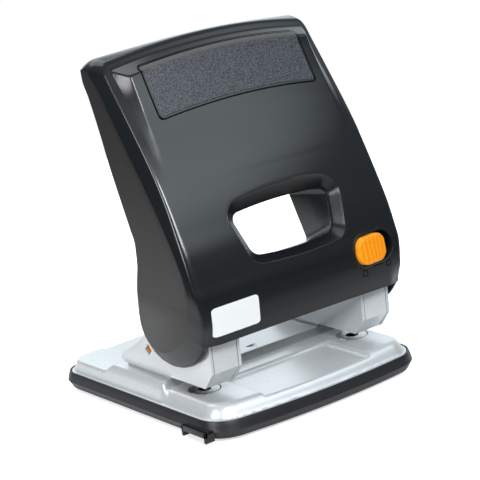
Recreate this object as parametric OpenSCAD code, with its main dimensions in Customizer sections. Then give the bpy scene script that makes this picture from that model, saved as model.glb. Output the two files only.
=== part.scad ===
// Two-hole desk punch with a tall pressing handle, in millimetres.
// +Z is up and +Y is to the back, away from the side where the paper goes in.
// The origin is on the desk, under the middle of the base.

/* [Holes] */
// Distance between the two punched holes
hole_spacing = 80; // [70:0.5:85]
// Diameter of a punch pin
punch_d = 5.5; // [5:0.1:6.5]
// Radial play of a pin in its guide, die or pivot hole
running_gap = 0.05; // [0.02:0.01:0.1]
// Height of the slot that the paper goes into
throat_h = 4.5; // [4.3:0.1:6]
// Travel of the punches
punch_travel = 7.65; // [7:0.05:8.5]

/* [Tray] */
// Width of the tray at its widest
tray_w = 110.4; // [104:0.2:124]
// Depth of the tray, front to back, along its middle
tray_d = 123.6; // [118:0.2:140]
// How far the front and back edges bow out at the middle
tray_bow = 4.3; // [3:0.1:6]
// Height of the tray side
tray_h = 7.8; // [7.4:0.1:10]
// Thickness of the tray wall
tray_wall = 1.8; // [1.4:0.1:2.4]
// Thickness of the tray floor
tray_floor = 1.5; // [1:0.1:2]
// Radius of the front corners
front_corner_r = 14.5; // [12:0.5:18]
// Radius of the back corners
rear_corner_r = 10.5; // [8:0.5:14]
// Diameter of a rubber foot
foot_d = 12; // [8:0.5:16]
// How far the feet stand out below the tray
foot_proud = 1.5; // [1:0.1:3]
// Length of the pull tab on the tray
tab_l = 16.4; // [12:0.2:20]
// How far the pull tab stands out from the tray side
tab_out = 1.8; // [1.4:0.1:1.9]

/* [Base plate] */
// Thickness of the pressed steel sheet
plate_t = 1.2; // [0.8:0.1:1.4]
// Height of the paper bed above the tray rim
bed_rise = 5.5; // [5:0.1:7]
// Height of the raised platform above the paper bed
platform_h = 3; // [2.6:0.1:3.1]
// Distance from the punch line back to the paper stop
stop_y = 12.8; // [11:0.2:14]
// Depth of the shallow panel pressed into the bed
panel_drop = 1.5; // [1:0.1:1.8]
// Half width of that panel
panel_half_w = 28.4; // [20:0.2:28.6]
// Diameter of a die insert
die_d = 13.6; // [11:0.2:14]

/* [Brackets] */
// Width of a bracket over its two cheeks
bracket_w = 15.4; // [15:0.1:16]
// Thickness of a cheek
cheek_t = 1.4; // [1.2:0.1:1.5]
// Distance from the punch line forward to the front plate
guard_y = 17.6; // [17.2:0.1:19]
// Distance from the punch line back to the end of the cheeks
cheek_rear_y = 47.9; // [46:0.2:50]
// Side of the square hole that shows the orange catch
peep_side = 3.4; // [2:0.2:5]

/* [Pivot] */
// Distance from the punch line forward to the pivot shaft
pivot_y = 9.5; // [9.3:0.1:10]
// Height of the pivot shaft above the paper bed
pivot_z = 33; // [32:0.2:34]
// Diameter of the pivot shaft
pivot_d = 6; // [5:0.2:6.4]
// Distance between the pivot and the drive pins
crank_r = 10; // [9.6:0.1:10.4]
// Diameter of a drive pin
drive_d = 5; // [4:0.2:5]

/* [Handle] */
// Play between the end of the pivot shaft and the side wall of the handle
handle_side_gap = 2.1; // [1.2:0.1:3]
// How far each side of the handle draws in to the front edge
side_draw = 2.3; // [1.9:0.1:3.4]
// Wall thickness of the handle mouldings
shell_t = 2.3; // [1.8:0.1:2.6]
// Height of the handle's top above the paper bed
handle_top_b = 139.7; // [130:0.1:150]
// Radius of the bow of the handle face across its width
face_bow_r = 290; // [260:5:420]
// Radius of the arch of the handle top across its width
top_arch_r = 370; // [320:5:500]
// Half width of the grip pad
pad_half_w = 40; // [30:0.5:42]
// Thickness of the grip pad
pad_t = 0.9; // [0.6:0.1:1.2]
// Depth of the window through the handle
window_depth = 25; // [24:0.5:26]
// Half width of the window rim at its top
window_top_half_w = 32.1; // [28:0.1:33]
// Half width of the window rim at its bottom
window_low_half_w = 24.4; // [23:0.1:26]
// Width of the sloping window rim
window_rim = 5; // [4:0.2:5.6]

/* [Lock] */
// Width of the lock button
button_w = 14; // [10:0.5:15]
// Height of the lock button
button_h = 11; // [8:0.5:12]
// Travel of the lock button
lock_travel = 4; // [3:0.1:4.2]

/* [Springs] */
// Diameter of the spring wire
wire_d = 0.8; // [0.6:0.05:0.9]
// Outer diameter of a spring
coil_d = 8; // [7.8:0.1:8.2]
// Number of turns of a spring
coil_turns = 5; // [4:1:6]

/* [Hidden] */
$fn = 48;

// Colours as seen on the object
silver_paint = "#C9CCD0";
black_plastic = "#26262A";
gloss_black = "#2B2F31";
bright_steel = "#B9BBBE";
dark_steel = "#55585C";
orange_plastic = "#F5A01E";
rubber_black = "#1B1B1C";
pad_grey = "#5A5F66";

eps = 0.01;
side_gap = 0.3;       // play between parts that slide past or lift off each other
seat_gap = 0.1;       // play round a part that is fixed in its seat
half_spacing = hole_spacing / 2;

// Heights above the desk, and the punch line's place front to back
tray_z = foot_proud;
rim_z = tray_z + tray_h;
bed_z = rim_z + bed_rise;
punch_setback = 30.9;
punch_y = punch_setback - tray_d / 2;
tray_front = -punch_setback;
tray_back = tray_d - punch_setback;

// Heights measured from the paper bed
rim_b = -bed_rise;
tray_b = -bed_rise - tray_h;
flange_top_b = rim_b - 0.2;

// The places that every part is drawn from: the bed at the punch line, or one punch
module on_bed() { translate([0, punch_y, bed_z]) children(); }
module at_punch(side) { on_bed() translate([side * half_spacing, 0, 0]) children(); }

// ---------- shapes that are used more than once ----------

function arc_pts(c, r, a, b, n) =
    [for (i = [0:n]) c + r * [cos(a + (b - a) * i / n), sin(a + (b - a) * i / n)]];

// Smooth curve through a list of points
function mix4(p, t) =
    0.5 * (2 * p[1] + (p[2] - p[0]) * t + (2 * p[0] - 5 * p[1] + 4 * p[2] - p[3]) * t * t
           + (3 * p[1] - p[0] - 3 * p[2] + p[3]) * t * t * t);
function smooth_curve(p, n) =
    let (m = len(p) - 1)
    [for (i = [0:m - 1], k = [0:n - 1])
        mix4([p[max(i - 1, 0)], p[i], p[i + 1], p[min(i + 2, m)]], k / n), p[m]];

// Outline of the base: straight sides, bowed front and back, round corners.
// w is half the width, f and b are the front and back edges at the middle.
function base_outline(w, f, b, rf, rr) =
    let (s = tray_bow,
         big_r = (w * w + s * s) / (2 * s),
         fy = f + big_r,
         by = b - big_r,
         cf = [w - rf, fy - sqrt(pow(big_r - rf, 2) - pow(w - rf, 2))],
         cr = [w - rr, by + sqrt(pow(big_r - rr, 2) - pow(w - rr, 2))],
         af = atan2(cf[1] - fy, cf[0]),
         ar = atan2(cr[1] - by, cr[0]),
         right = concat(
             [for (i = [0:4]) big_r * [cos(-90 + (af + 90) * i / 5), sin(-90 + (af + 90) * i / 5)] + [0, fy]],
             arc_pts(cf, rf, af, 0, 6),
             arc_pts(cr, rr, 0, ar, 5),
             [for (i = [1:5]) big_r * [cos(ar + (90 - ar) * i / 5), sin(ar + (90 - ar) * i / 5)] + [0, by]]))
    concat(right, [for (i = [len(right) - 2:-1:1]) [-right[i][0], right[i][1]]]);

function at_height(outline, z) = [for (p = outline) [p[0], p[1], z]];

// Outline of a box with round corners
function round_box(w, h, r) = concat(
    arc_pts([w / 2 - r, h / 2 - r], r, 0, 90, 6), arc_pts([r - w / 2, h / 2 - r], r, 90, 180, 6),
    arc_pts([r - w / 2, r - h / 2], r, 180, 270, 6), arc_pts([w / 2 - r, r - h / 2], r, 270, 360, 6));

// Solid skinned through rings of points, all with as many points, from the lowest up
module skin(rings) {
    n = len(rings[0]);
    m = len(rings);
    polyhedron(
        points = [for (r = rings) each r],
        faces = concat(
            [[for (i = [0:n - 1]) i]],
            [[for (i = [n - 1:-1:0]) (m - 1) * n + i]],
            [for (j = [0:m - 2], i = [0:n - 1]) [j * n + i, (j + 1) * n + i, (j + 1) * n + (i + 1) % n]],
            [for (j = [0:m - 2], i = [0:n - 1]) [j * n + i, (j + 1) * n + (i + 1) % n, j * n + (i + 1) % n]]));
}

// Slab along X of an outline drawn in the side view, with y across and z up
module side_slab(x0, x1) {
    translate([x0, 0, 0]) rotate([90, 0, 90]) linear_extrude(x1 - x0) children();
}

// Rod along X
module rod_x(x0, x1, y, z, d) {
    translate([x0, y, z]) rotate([0, 90, 0]) cylinder(d = d, h = x1 - x0);
}

// ---------- base ----------

rim_inset = 1.8;      // the rim's inner edge, inside the widest line
foot_inset = 1.9;     // the tray's bottom edge, inside the widest line
crease_h = 3.7;       // height of the widest line above the tray's bottom
tray_half_w = tray_w / 2;
flange_half_w = tray_half_w - rim_inset - side_gap;
flange_front = tray_front + rim_inset + side_gap;
flange_back = tray_back - rim_inset - side_gap;
ledge_b = flange_top_b - plate_t;

function tray_outline(inset) =
    base_outline(tray_half_w - inset, tray_front + inset, tray_back - inset,
                 front_corner_r - inset, rear_corner_r - inset);

// Pull tab: an outer plate on two ribs, on the left side near the front
tab_y = -22.2;
tab_h = 4.6;
tab_t = 1.3;
module pull_tab() {
    outer_x = -tray_half_w - tab_out;
    difference() {
        translate([outer_x, tab_y, tray_b])
            cube([tray_half_w + tab_out - 48, tab_l, tab_h]);
        translate([outer_x + tab_t, tab_y + tab_t, tray_b - 1])
            cube([tab_out + foot_inset + 0.6 - tab_t, tab_l - 2 * tab_t, tab_h + 2]);
        translate([outer_x - 1, tab_y + tab_t, tray_b - 1])
            cube([tab_t + 2, tab_l - 2 * tab_t, 1 + 2.4]);
    }
}

module chip_tray() {
    cavity_inset = tray_wall + 2.6;
    color(black_plastic) on_bed() difference() {
        union() {
            skin([at_height(tray_outline(foot_inset + 0.8), tray_b),
                  at_height(tray_outline(foot_inset), tray_b + 0.7),
                  at_height(tray_outline(0), tray_b + crease_h),
                  at_height(tray_outline(rim_inset - 0.7), rim_b)]);
            pull_tab();
        }
        skin([at_height(tray_outline(cavity_inset + 1.2), tray_b + tray_floor),
              at_height(tray_outline(cavity_inset), tray_b + tray_floor + 1.2),
              at_height(tray_outline(cavity_inset), rim_b + 1)]);
        skin([at_height(tray_outline(rim_inset), ledge_b),
              at_height(tray_outline(rim_inset), rim_b + 1)]);
    }
}

// Feet in the four corners, held by a short stud in the tray floor
foot_x = tray_half_w - 15;
foot_front_y = tray_front + 15;
foot_back_y = tray_back - 15;
module rubber_feet() {
    color(rubber_black) on_bed() for (x = [-foot_x, foot_x], y = [foot_front_y, foot_back_y])
        translate([x, y, tray_b - foot_proud]) cylinder(d = foot_d, h = foot_proud);
}

// Heights and places of the pressed sheet, from the bed and the punch line
platform_edge = 50.5;     // half width of the platform's top
platform_back_y = 51;     // where the platform starts to fall to the back shelf
shelf_front_y = 57;       // where the back shelf starts
shelf_back_y = 78.4;
shelf_b = 1;
wall_inset = 0.7;         // the wall's foot, inside the flange's edge
panel_back_y = 2.8;
panel_slope = 1.2;

// Outline of the pressed walls, where inset is measured inwards from the flange's edge
function wall_outline(inset, back) =
    base_outline(flange_half_w - inset, flange_front + inset, back,
                 front_corner_r - rim_inset - inset, max(rear_corner_r - rim_inset - inset, 3));

// Solid block under the pressed sheet's skin; drop lowers and draws it in by one sheet
module pressed_block(drop) {
    top_inset = flange_half_w - platform_edge;
    intersection() {
        skin([at_height(wall_outline(wall_inset + drop, flange_back - 4 - drop), ledge_b - drop),
              at_height(wall_outline(top_inset - 0.6 + drop, flange_back - 6 - drop), -drop),
              at_height(wall_outline(top_inset + drop, flange_back - 8 - drop), platform_h - drop)]);
        side_slab(-60, 60) polygon([
            [-60, -30], [-60, -drop], [stop_y + drop, -drop],
            [stop_y + 1.6 + drop, platform_h - drop],
            [platform_back_y - drop, platform_h - drop],
            [shelf_front_y - drop, shelf_b - drop],
            [shelf_front_y + 4, shelf_b - drop], [shelf_front_y + 4, -30]]);
    }
    intersection() {
        skin([at_height(wall_outline(0.2 + drop, flange_back - 4 - drop), ledge_b - drop),
              at_height(wall_outline(0.4 + drop, shelf_back_y - drop), shelf_b - drop)]);
        translate([0, 0, -30]) linear_extrude(60) polygon([
            [-48 + drop, platform_back_y + drop], [48 - drop, platform_back_y + drop],
            [53.4, shelf_front_y + 2 + drop], [60, 100], [-60, 100],
            [-53.4, shelf_front_y + 2 + drop]]);
        side_slab(-60, 60) polygon([
            [platform_back_y - 1, -30], [platform_back_y - 1, platform_h - drop],
            [platform_back_y - drop, platform_h - drop], [shelf_front_y - drop, shelf_b - drop],
            [100, shelf_b - drop], [100, -30]]);
    }
}

// Shallow panel in the front of the bed; grow widens it by one sheet for the underside
module bed_panel(grow) {
    skin([[[-panel_half_w + panel_slope - grow, tray_front - 5, -panel_drop - grow],
           [panel_half_w - panel_slope + grow, tray_front - 5, -panel_drop - grow],
           [panel_half_w - panel_slope + grow, panel_back_y - panel_slope + grow, -panel_drop - grow],
           [-panel_half_w + panel_slope - grow, panel_back_y - panel_slope + grow, -panel_drop - grow]],
          [[-panel_half_w - grow, tray_front - 5, 1],
           [panel_half_w + grow, tray_front - 5, 1],
           [panel_half_w + grow, panel_back_y + grow, 1],
           [-panel_half_w - grow, panel_back_y + grow, 1]]]);
}

// Sloping hollow along the back of the shelf; grow widens it by one sheet
hollow_half_w = 36;
hollow_front_y = 69.5;
hollow_drop = 1.6;
module back_hollow(grow) {
    skin([[[-hollow_half_w + 8 - grow, hollow_front_y + 3 - grow, shelf_b - hollow_drop - grow],
           [hollow_half_w - 8 + grow, hollow_front_y + 3 - grow, shelf_b - hollow_drop - grow],
           [hollow_half_w - 8 + grow, 100, shelf_b - hollow_drop - grow],
           [-hollow_half_w + 8 - grow, 100, shelf_b - hollow_drop - grow]],
          [[-hollow_half_w + 6 - grow, hollow_front_y - grow, shelf_b + 1],
           [hollow_half_w - 6 + grow, hollow_front_y - grow, shelf_b + 1],
           [hollow_half_w + grow, 100, shelf_b + 1],
           [-hollow_half_w - grow, 100, shelf_b + 1]]]);
}

// Stamped arrow that marks the middle of the sheet of paper
arrow_y = 15.4;
arrow_l = 5;
module centre_arrow() {
    translate([0, arrow_y, platform_h - 0.6]) linear_extrude(2)
        polygon([[0, 0], [2.6, arrow_l], [-2.6, arrow_l]]);
}

module base_plate() {
    color(silver_paint) on_bed() difference() {
        union() {
            skin([at_height(wall_outline(0, flange_back), ledge_b),
                  at_height(wall_outline(0, flange_back), flange_top_b)]);
            difference() {
                pressed_block(0);
                bed_panel(0);
                back_hollow(0);
                centre_arrow();
            }
        }
        difference() {
            pressed_block(plate_t);
            bed_panel(plate_t);
            back_hollow(plate_t);
            translate([0, arrow_y + 3, platform_h]) cube([9, 9, 4], center = true);
        }
        for (side = [-1, 1]) {
            translate([side * half_spacing, 0, -5]) cylinder(d = die_d + 2 * seat_gap, h = 10);
            for (y = rivet_ys) translate([side * half_spacing, y, -2])
                cylinder(d = rivet_d + 2 * seat_gap, h = 8);
        }
    }
}

// Hardened ring that the punch cuts against
die_h = 3;
module die(side) {
    color(bright_steel) at_punch(side) translate([0, 0, -die_h]) difference() {
        union() {
            cylinder(d = die_d, h = die_h - 0.4);
            translate([0, 0, die_h - 0.4]) cylinder(d1 = die_d, d2 = die_d - 0.8, h = 0.4, $fn = 64);
        }
        translate([0, 0, -1]) cylinder(d = punch_d + 2 * running_gap, h = die_h + 2);
    }
}

// ---------- brackets ----------

cheek_inner = bracket_w / 2 - cheek_t;
cheek_b = throat_h + 0.1;
bracket_top_r = 9.2;
web_t = 1.5;
rivet_ys = [21, 40];
rivet_d = 4;
peep_y = 26.3;
peep_b = 13.9;

// Side outline of a cheek: open to the front, with a long straight foot and a round top
function cheek_outline() = concat(
    [[-11.8, cheek_b], [cheek_rear_y - 2.4, cheek_b]],
    arc_pts([cheek_rear_y - 2.6, cheek_b + 2.6], 2.6, -70, 40, 4),
    [[42.2, 11], [35.4, 14.6], [28.3, 19.4], [18, 26.5], [8, 32.6], [1, 36]],
    arc_pts([-pivot_y, pivot_z], bracket_top_r, 40, 140, 8),
    [[-guard_y, pivot_z + 3], [-guard_y, 11.6]]);

module bracket(side) {
    color(silver_paint) at_punch(side) difference() {
        union() {
            for (x = [-bracket_w / 2, cheek_inner])
                side_slab(x, x + cheek_t) polygon(cheek_outline());
            translate([-cheek_inner, stop_y + 2, platform_h])
                cube([2 * cheek_inner, cheek_rear_y - stop_y - 4, web_t]);
            for (x = [-bracket_w / 2, cheek_inner])
                translate([x, stop_y + 2, platform_h]) cube([cheek_t, cheek_rear_y - stop_y - 5, 3]);
        }
        rod_x(-10, 10, -pivot_y, pivot_z, pivot_d + 2 * seat_gap);
        for (y = rivet_ys) translate([0, y, platform_h - 1])
            cylinder(d = rivet_d + 2 * seat_gap, h = web_t + 2);
        translate([-bracket_w / 2, peep_y, peep_b]) rotate([45, 0, 0])
            cube([4, peep_side, peep_side], center = true);
    }
}

// Front plate between the cheeks, bent back under the pivot
module front_guard(side) {
    half = cheek_inner - seat_gap;
    color(silver_paint) at_punch(side) side_slab(-half, half) polygon([
        [-guard_y, 11.6], [-guard_y, pivot_z + 2.8], [-guard_y + cheek_t, pivot_z + 2.8],
        [-guard_y + cheek_t, 12.2], [-10.4, throat_h + 1.1], [-11, throat_h],
        [-11.4, throat_h + 0.1]]);
}

// Block between the cheeks that the punch slides in
guide_b = throat_h + 0.5;
guide_top_b = 14;
module punch_guide(side) {
    half = cheek_inner - seat_gap / 2;
    color(dark_steel) at_punch(side) difference() {
        translate([-half, -7, guide_b]) cube([2 * half, 14, guide_top_b - guide_b]);
        translate([0, 0, guide_b - 1]) cylinder(d = punch_d + 2 * running_gap, h = guide_top_b);
    }
}

// ---------- punches and springs ----------

head_b = 27;
head_half_w = 4.1;
rest_angle = asin(punch_travel / 2 / crank_r);
drive_y = -pivot_y + crank_r * cos(rest_angle);
drive_b = pivot_z + punch_travel / 2;
slot_shift = crank_r * (1 - cos(rest_angle));
slot_mid_y = drive_y + slot_shift / 2;
slot_r = drive_d / 2 + 0.1;
slot_reach = slot_shift / 2 + 0.15;
head_front_y = slot_mid_y - slot_reach - slot_r - 2;
head_back_y = slot_mid_y + slot_reach + slot_r + 2;

module punch(side) {
    tip_b = guide_b - 0.1;
    color(bright_steel) at_punch(side) difference() {
        union() {
            translate([0, 0, tip_b]) cylinder(d = punch_d, h = head_b - tip_b + 1);
            translate([-head_half_w, head_front_y, head_b])
                cube([2 * head_half_w, head_back_y - head_front_y, drive_b + slot_r + 2 - head_b]);
        }
        for (y = [slot_mid_y - slot_reach, slot_mid_y + slot_reach])
            rod_x(-5, 5, y, drive_b, 2 * slot_r);
        translate([-5, slot_mid_y - slot_reach, drive_b - slot_r])
            cube([10, 2 * slot_reach, 2 * slot_r]);
        translate([0, 0, tip_b - 0.9]) rotate([45, 0, 0]) cube([10, 1.9, 1.9], center = true);
    }
}

// Coil between the guide and the punch's head: one tube wound in a helix
spring_low = guide_top_b + 0.05;
spring_h = head_b - 0.05 - spring_low;
coil_r = (coil_d - wire_d) / 2;
coil_steps = 8 * coil_turns;
coil_pitch = (spring_h - wire_d) / coil_turns;
function coil_ring(k) =
    let (a = 360 * k / 8,
         z = spring_low + wire_d / 2 + coil_pitch * k / 8,
         n = [cos(a), sin(a), 0],
         c = coil_r * n + [0, 0, z])
    [for (j = [0:5]) c + wire_d / 2 * (cos(60 * j) * n + sin(60 * j) * [0, 0, 1])];
echo(str("least gap of the spring to itself, mm: ", coil_pitch - wire_d));

module return_spring(side) {
    color(bright_steel) at_punch(side) skin([for (k = [coil_steps:-1:0]) coil_ring(k)]);
}

// ---------- pivot ----------

shaft_half_l = half_spacing + bracket_w / 2 + 2.4;
clip_x = half_spacing + bracket_w / 2 + 0.2;
module pivot_shaft() {
    color(bright_steel) on_bed() difference() {
        rod_x(-shaft_half_l, shaft_half_l, -pivot_y, pivot_z, pivot_d);
        for (x = [-clip_x - 0.9, clip_x - 0.1]) translate([x, -pivot_y, pivot_z])
            rotate([0, 90, 0]) difference() {
                cylinder(d = pivot_d + 2, h = 1);
                translate([0, 0, -1]) cylinder(d = pivot_d - 1.4, h = 3);
            }
    }
}

// Open rings snapped into the grooves at the shaft's ends
module pivot_clips() {
    color(dark_steel) on_bed() for (x = [-clip_x - 0.8, clip_x])
        translate([x, -pivot_y, pivot_z]) rotate([0, 90, 0]) difference() {
            cylinder(d = pivot_d + 4, h = 0.8);
            translate([0, 0, -1]) cylinder(d = pivot_d - 1.3, h = 3);
            translate([0, -(pivot_d - 2) / 2, -1]) cube([pivot_d, pivot_d - 2, 3]);
        }
}

module bracket_rivets() {
    color(bright_steel) for (side = [-1, 1]) at_punch(side) for (y = rivet_ys) {
        translate([0, y, platform_h - plate_t - 0.8]) cylinder(d = rivet_d, h = plate_t + web_t + 0.8);
        translate([0, y, platform_h + web_t]) cylinder(d = rivet_d + 3, h = 1.2);
        translate([0, y, platform_h - plate_t - 0.8]) cylinder(d = rivet_d + 2, h = 0.8);
    }
}

// Orange block inside the left bracket that shows through the square hole
module lock_catch() {
    catch_half = cheek_inner - 0.15;
    catch_front = peep_y - 4.3;
    catch_back = peep_y + 6.7;
    catch_low = platform_h + web_t + 1.6;
    color(orange_plastic) at_punch(-1) side_slab(-catch_half, catch_half)
        polygon([[catch_front, catch_low], [catch_back, catch_low], [catch_back, peep_b - 1.9],
                 [peep_y + 2.2, peep_b + 3.5], [catch_front, peep_b + 5.1]]);
}

// ---------- handle, drawn leaning back as it rests ----------

handle_half_w = shaft_half_l + handle_side_gap + shell_t;
front_half_w = handle_half_w - side_draw;
panel_edge_w = front_half_w - 7.8;    // where the panel and the pad are measured across
lean = 25;
lean_axis_r = face_bow_r - 40;
function along(p) = p[0] * sin(lean) + p[1] * cos(lean);
function outward(p) = -p[0] * cos(lean) + p[1] * sin(lean);

// Side outlines are drawn at the edge of the handle and revolved about a far axis,
// which lies behind the handle and leans with it, to bow the whole handle.
function bowed_pt(p, edge) = [sqrt(pow(lean_axis_r + outward(p), 2) + edge * edge), along(p)];
module bowed(outline, edge) {
    sweep = 26;
    translate([0, lean_axis_r * cos(lean), -lean_axis_r * sin(lean)])
        multmatrix([[0, 1, 0, 0], [-cos(lean), 0, sin(lean), 0], [sin(lean), 0, cos(lean), 0], [0, 0, 0, 1]])
            rotate([0, 0, -sweep / 2]) rotate_extrude(angle = sweep, $fn = 96)
                polygon([for (p = outline) bowed_pt(p, edge)]);
}

// The outlines are drawn for a top at 139.7; above the window they stretch to the height asked for
drawn_top = 139.7;
stretch_from = 85;
function tall_z(z) = z <= stretch_from ? z
    : stretch_from + (z - stretch_from) * (handle_top_b - stretch_from) / (drawn_top - stretch_from);
function tall(points) = [for (p = points) [p[0], tall_z(p[1])]];

// Front and hub of the side outline, from the top down and round to the back
front_line = smooth_curve(tall([[24.5, 131.6], [15.9, 119], [5.7, 104], [-4.3, 87.5], [-9.3, 77.7],
                                [-14.1, 67.3], [-18.5, 56.6], [-21.2, 48.5]]), 2);
hub_line = smooth_curve([[-22.9, 43.5], [-23, 37.2], [-22.3, 31.3], [-19.6, 24.4], [-16, 19.8],
                         [-11.9, 16.6], [-6.6, 13.9], [-1.4, 12.4], [2.8, 12.2], [7.6, 12.9],
                         [12.9, 14.9], [16.8, 19.1], [18.6, 25], [19.2, 31]], 2);
back_line = smooth_curve(tall([[18.8, 37.4], [17.1, 47.6], [15.3, 55.5], [15.1, 62.6], [17.3, 69],
                               [21.6, 80.9], [26, 93.3], [29.9, 107.3], [33.8, 121.3], [37.8, 132.1]]), 2);
side_outline = concat(front_line, hub_line, back_line, tall([[41, 142], [31.9, 142]]));

// The top, as a section from front to back that arches over the whole width
top_mid = tall([[-60, 134], [18, 136.6], [22, 138], [26, 139.2], [30, 139.7], [34, 139.2],
                [36.6, 137.8], [38.4, 135.4], [39.6, 131], [39.6, 0], [-60, 0]]);
module top_limit(drop) {
    translate([0, 0, -top_arch_r]) rotate([90, 0, 0]) rotate([0, 0, 60])
        rotate_extrude(angle = 60, $fn = 180)
            polygon([for (p = top_mid) [top_arch_r + p[1] - drop, -p[0]]]);
}

// Sloping sides: flat where the side view is full, drawn in along the front and the hub
side_flat = tall([[29.9, 134], [20.9, 114.3], [10.4, 98.3], [0, 82.4], [-7.5, 70.1], [-13.6, 57.6],
                  [-16.6, 49.1], [-15.8, 38], [-12.5, 29.8], [-8.1, 24.7], [-1.7, 20.9], [7.2, 18.7],
                  [14.5, 20.4], [19.6, 28], [40, 34], [60, 145], [36, 150]]);
bevel_w = 9.5;        // distance over which the sides draw in to the front edge
module side_limit() {
    reach = 3;        // the slope runs on past the front edge, over the bowed face
    drawn_in = handle_half_w - reach * (handle_half_w - front_half_w);
    hull() {
        side_slab(-handle_half_w, handle_half_w) polygon(side_flat);
        side_slab(-drawn_in, drawn_in) offset(delta = reach * bevel_w) polygon(side_flat);
    }
}

// Front panel, which stands proud of the rim towards the top
panel_line = tall([[-6.5, 85], [-1.8, 95], [3.2, 104], [7.2, 111.2], [11.6, 119], [16.9, 128.5]]);
panel_back = tall([[24.6, 132.6], [27, 126], [1.5, 86]]);
panel_high = tall_z(136);
module raised_panel() {
    intersection() {
        bowed(concat(panel_line, panel_back), panel_edge_w);
        skin([[[-panel_edge_w + 3.3, -20, 84], [panel_edge_w - 3.3, -20, 84],
               [panel_edge_w + 9.7, 4, 84], [-panel_edge_w - 9.7, 4, 84]],
              [[-panel_edge_w + 7.5, 8, panel_high], [panel_edge_w - 7.5, 8, panel_high],
               [panel_edge_w + 6.7, 34, panel_high], [-panel_edge_w - 6.7, 34, panel_high]]]);
    }
}

// Lower front wall, which runs straight down past the curl of the hubs
face_foot = [[-21.2, 48.5], [-22.9, 43.5], [-23, 37.2], [-22.8, 31.3], [-22.2, 20], [-12, 20], [-8, 48.5]];

// Rounds the two top corners
corner_r = 6;
corner_x = handle_half_w - corner_r - 0.1;
corner_z = tall_z(130.6);
module top_corners() {
    for (side = [-1, 1]) difference() {
        translate([side * (corner_x + 6) - 6, -10, corner_z]) cube([12, 70, 14]);
        translate([side * corner_x, 70, corner_z]) rotate([90, 0, 0]) cylinder(r = corner_r, h = 90);
    }
}

module handle_block() {
    difference() {
        union() {
            intersection() {
                union() {
                    bowed(side_outline, front_half_w);
                    bowed(face_foot, front_half_w);
                }
                top_limit(0);
                side_limit();
            }
            raised_panel();
        }
        top_corners();
    }
}

// Everything behind the front wall and inside the side walls, open to the back and below
hollow_top = tall_z(128.5);
module handle_hollow() {
    inner_front = concat(front_line, [[-22.9, 43.5], [-23, 37.2], [-22.8, 31.3], [-22.2, 20]]);
    hollow_side = concat(
        [for (p = inner_front) [p[0] + shell_t * 1.15, p[1] - shell_t * 0.5]],
        [[-20, -5], [60, -5], [60, hollow_top], [28, hollow_top]]);
    intersection() {
        bowed(hollow_side, front_half_w);
        translate([-handle_half_w + shell_t, -60, -10])
            cube([2 * (handle_half_w - shell_t), 130, 10 + hollow_top]);
    }
}

// Local frame on the handle face: x across, y up the face, z straight out of it
face_turn = 23.5;
window_y = -16.6;
window_b = 64.6;
module on_face(x, y, z, turn) {
    translate([x, y, z]) rotate([90 - turn, 0, 0]) children();
}

// Window outline: wider at the top, with round corners, drawn in by an inset
window_half_h = 14.4;
window_top_r = 8;
window_low_r = 7;
function window_outline(inset) =
    let (rt = window_top_r - inset * 0.35,
         rl = window_low_r - inset * 0.35,
         top = window_half_h - inset - rt,
         low = -window_half_h + inset + rl,
         tw = window_top_half_w - inset * 1.25 - rt,
         lw = window_low_half_w - inset * 0.75 - rl)
    concat(arc_pts([tw, top], rt, -8, 80, 6), [[0, top + rt + 1.2]], arc_pts([-tw, top], rt, 100, 188, 6),
           arc_pts([-lw, low], rl, 196, 268, 5), arc_pts([lw, low], rl, 272, 344, 5));

module window_cut(inset, z0, z1) {
    on_face(0, window_y, window_b, face_turn) translate([0, 0, z0])
        linear_extrude(z1 - z0) polygon(window_outline(inset));
}

// The way through the handle, a little less steep than the face's normal,
// and widening below towards the back
function way_ring(inset, z) = [for (p = window_outline(inset))
    [p[0] * (1 - z / window_depth * 0.006 * (window_half_h - p[1])), p[1] - 0.085 * z, z]];
module window_way(inset, z0, z1) {
    on_face(0, window_y, window_b, face_turn) skin([way_ring(inset, z0), way_ring(inset, z1)]);
}

// Lock button's place on the face, turned to follow the bow
lock_x = front_half_w - 17.3;
lock_b = 44.2;
lock_y = -25.3;
lock_turn = asin(lock_x / face_bow_r);
lock_lean = 8;
slot_w = button_w + lock_travel + 1;
slot_h = button_h + 0.6;
module at_lock() {
    translate([lock_x, lock_y, lock_b]) rotate([0, 0, lock_turn]) rotate([90 - lock_lean, 0, 0]) children();
}

// Screw posts, square to the lean of the handle
boss_xs = [8.5 - handle_half_w, handle_half_w - 8.5];
back_boss = tall([[11.4, 71], [26.2, 116]]);
lever_boss = [24, 43];

// Plate of the lever frame, as a line in the side view
lever_half_w = half_spacing + 1.5;
lever_boss_xs = [4.5 - lever_half_w, lever_half_w - 4.5];
lever_t = 1.8;
lever_l = 47;
plate_low = [-12, 47];
inward = [cos(lean), -sin(lean)];
function plate_at(t) = plate_low + t * [sin(lean), cos(lean)];
module along_face(x, p) { translate([x, p[0], p[1]]) rotate([90 - lean, 0, 0]) children(); }

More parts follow.
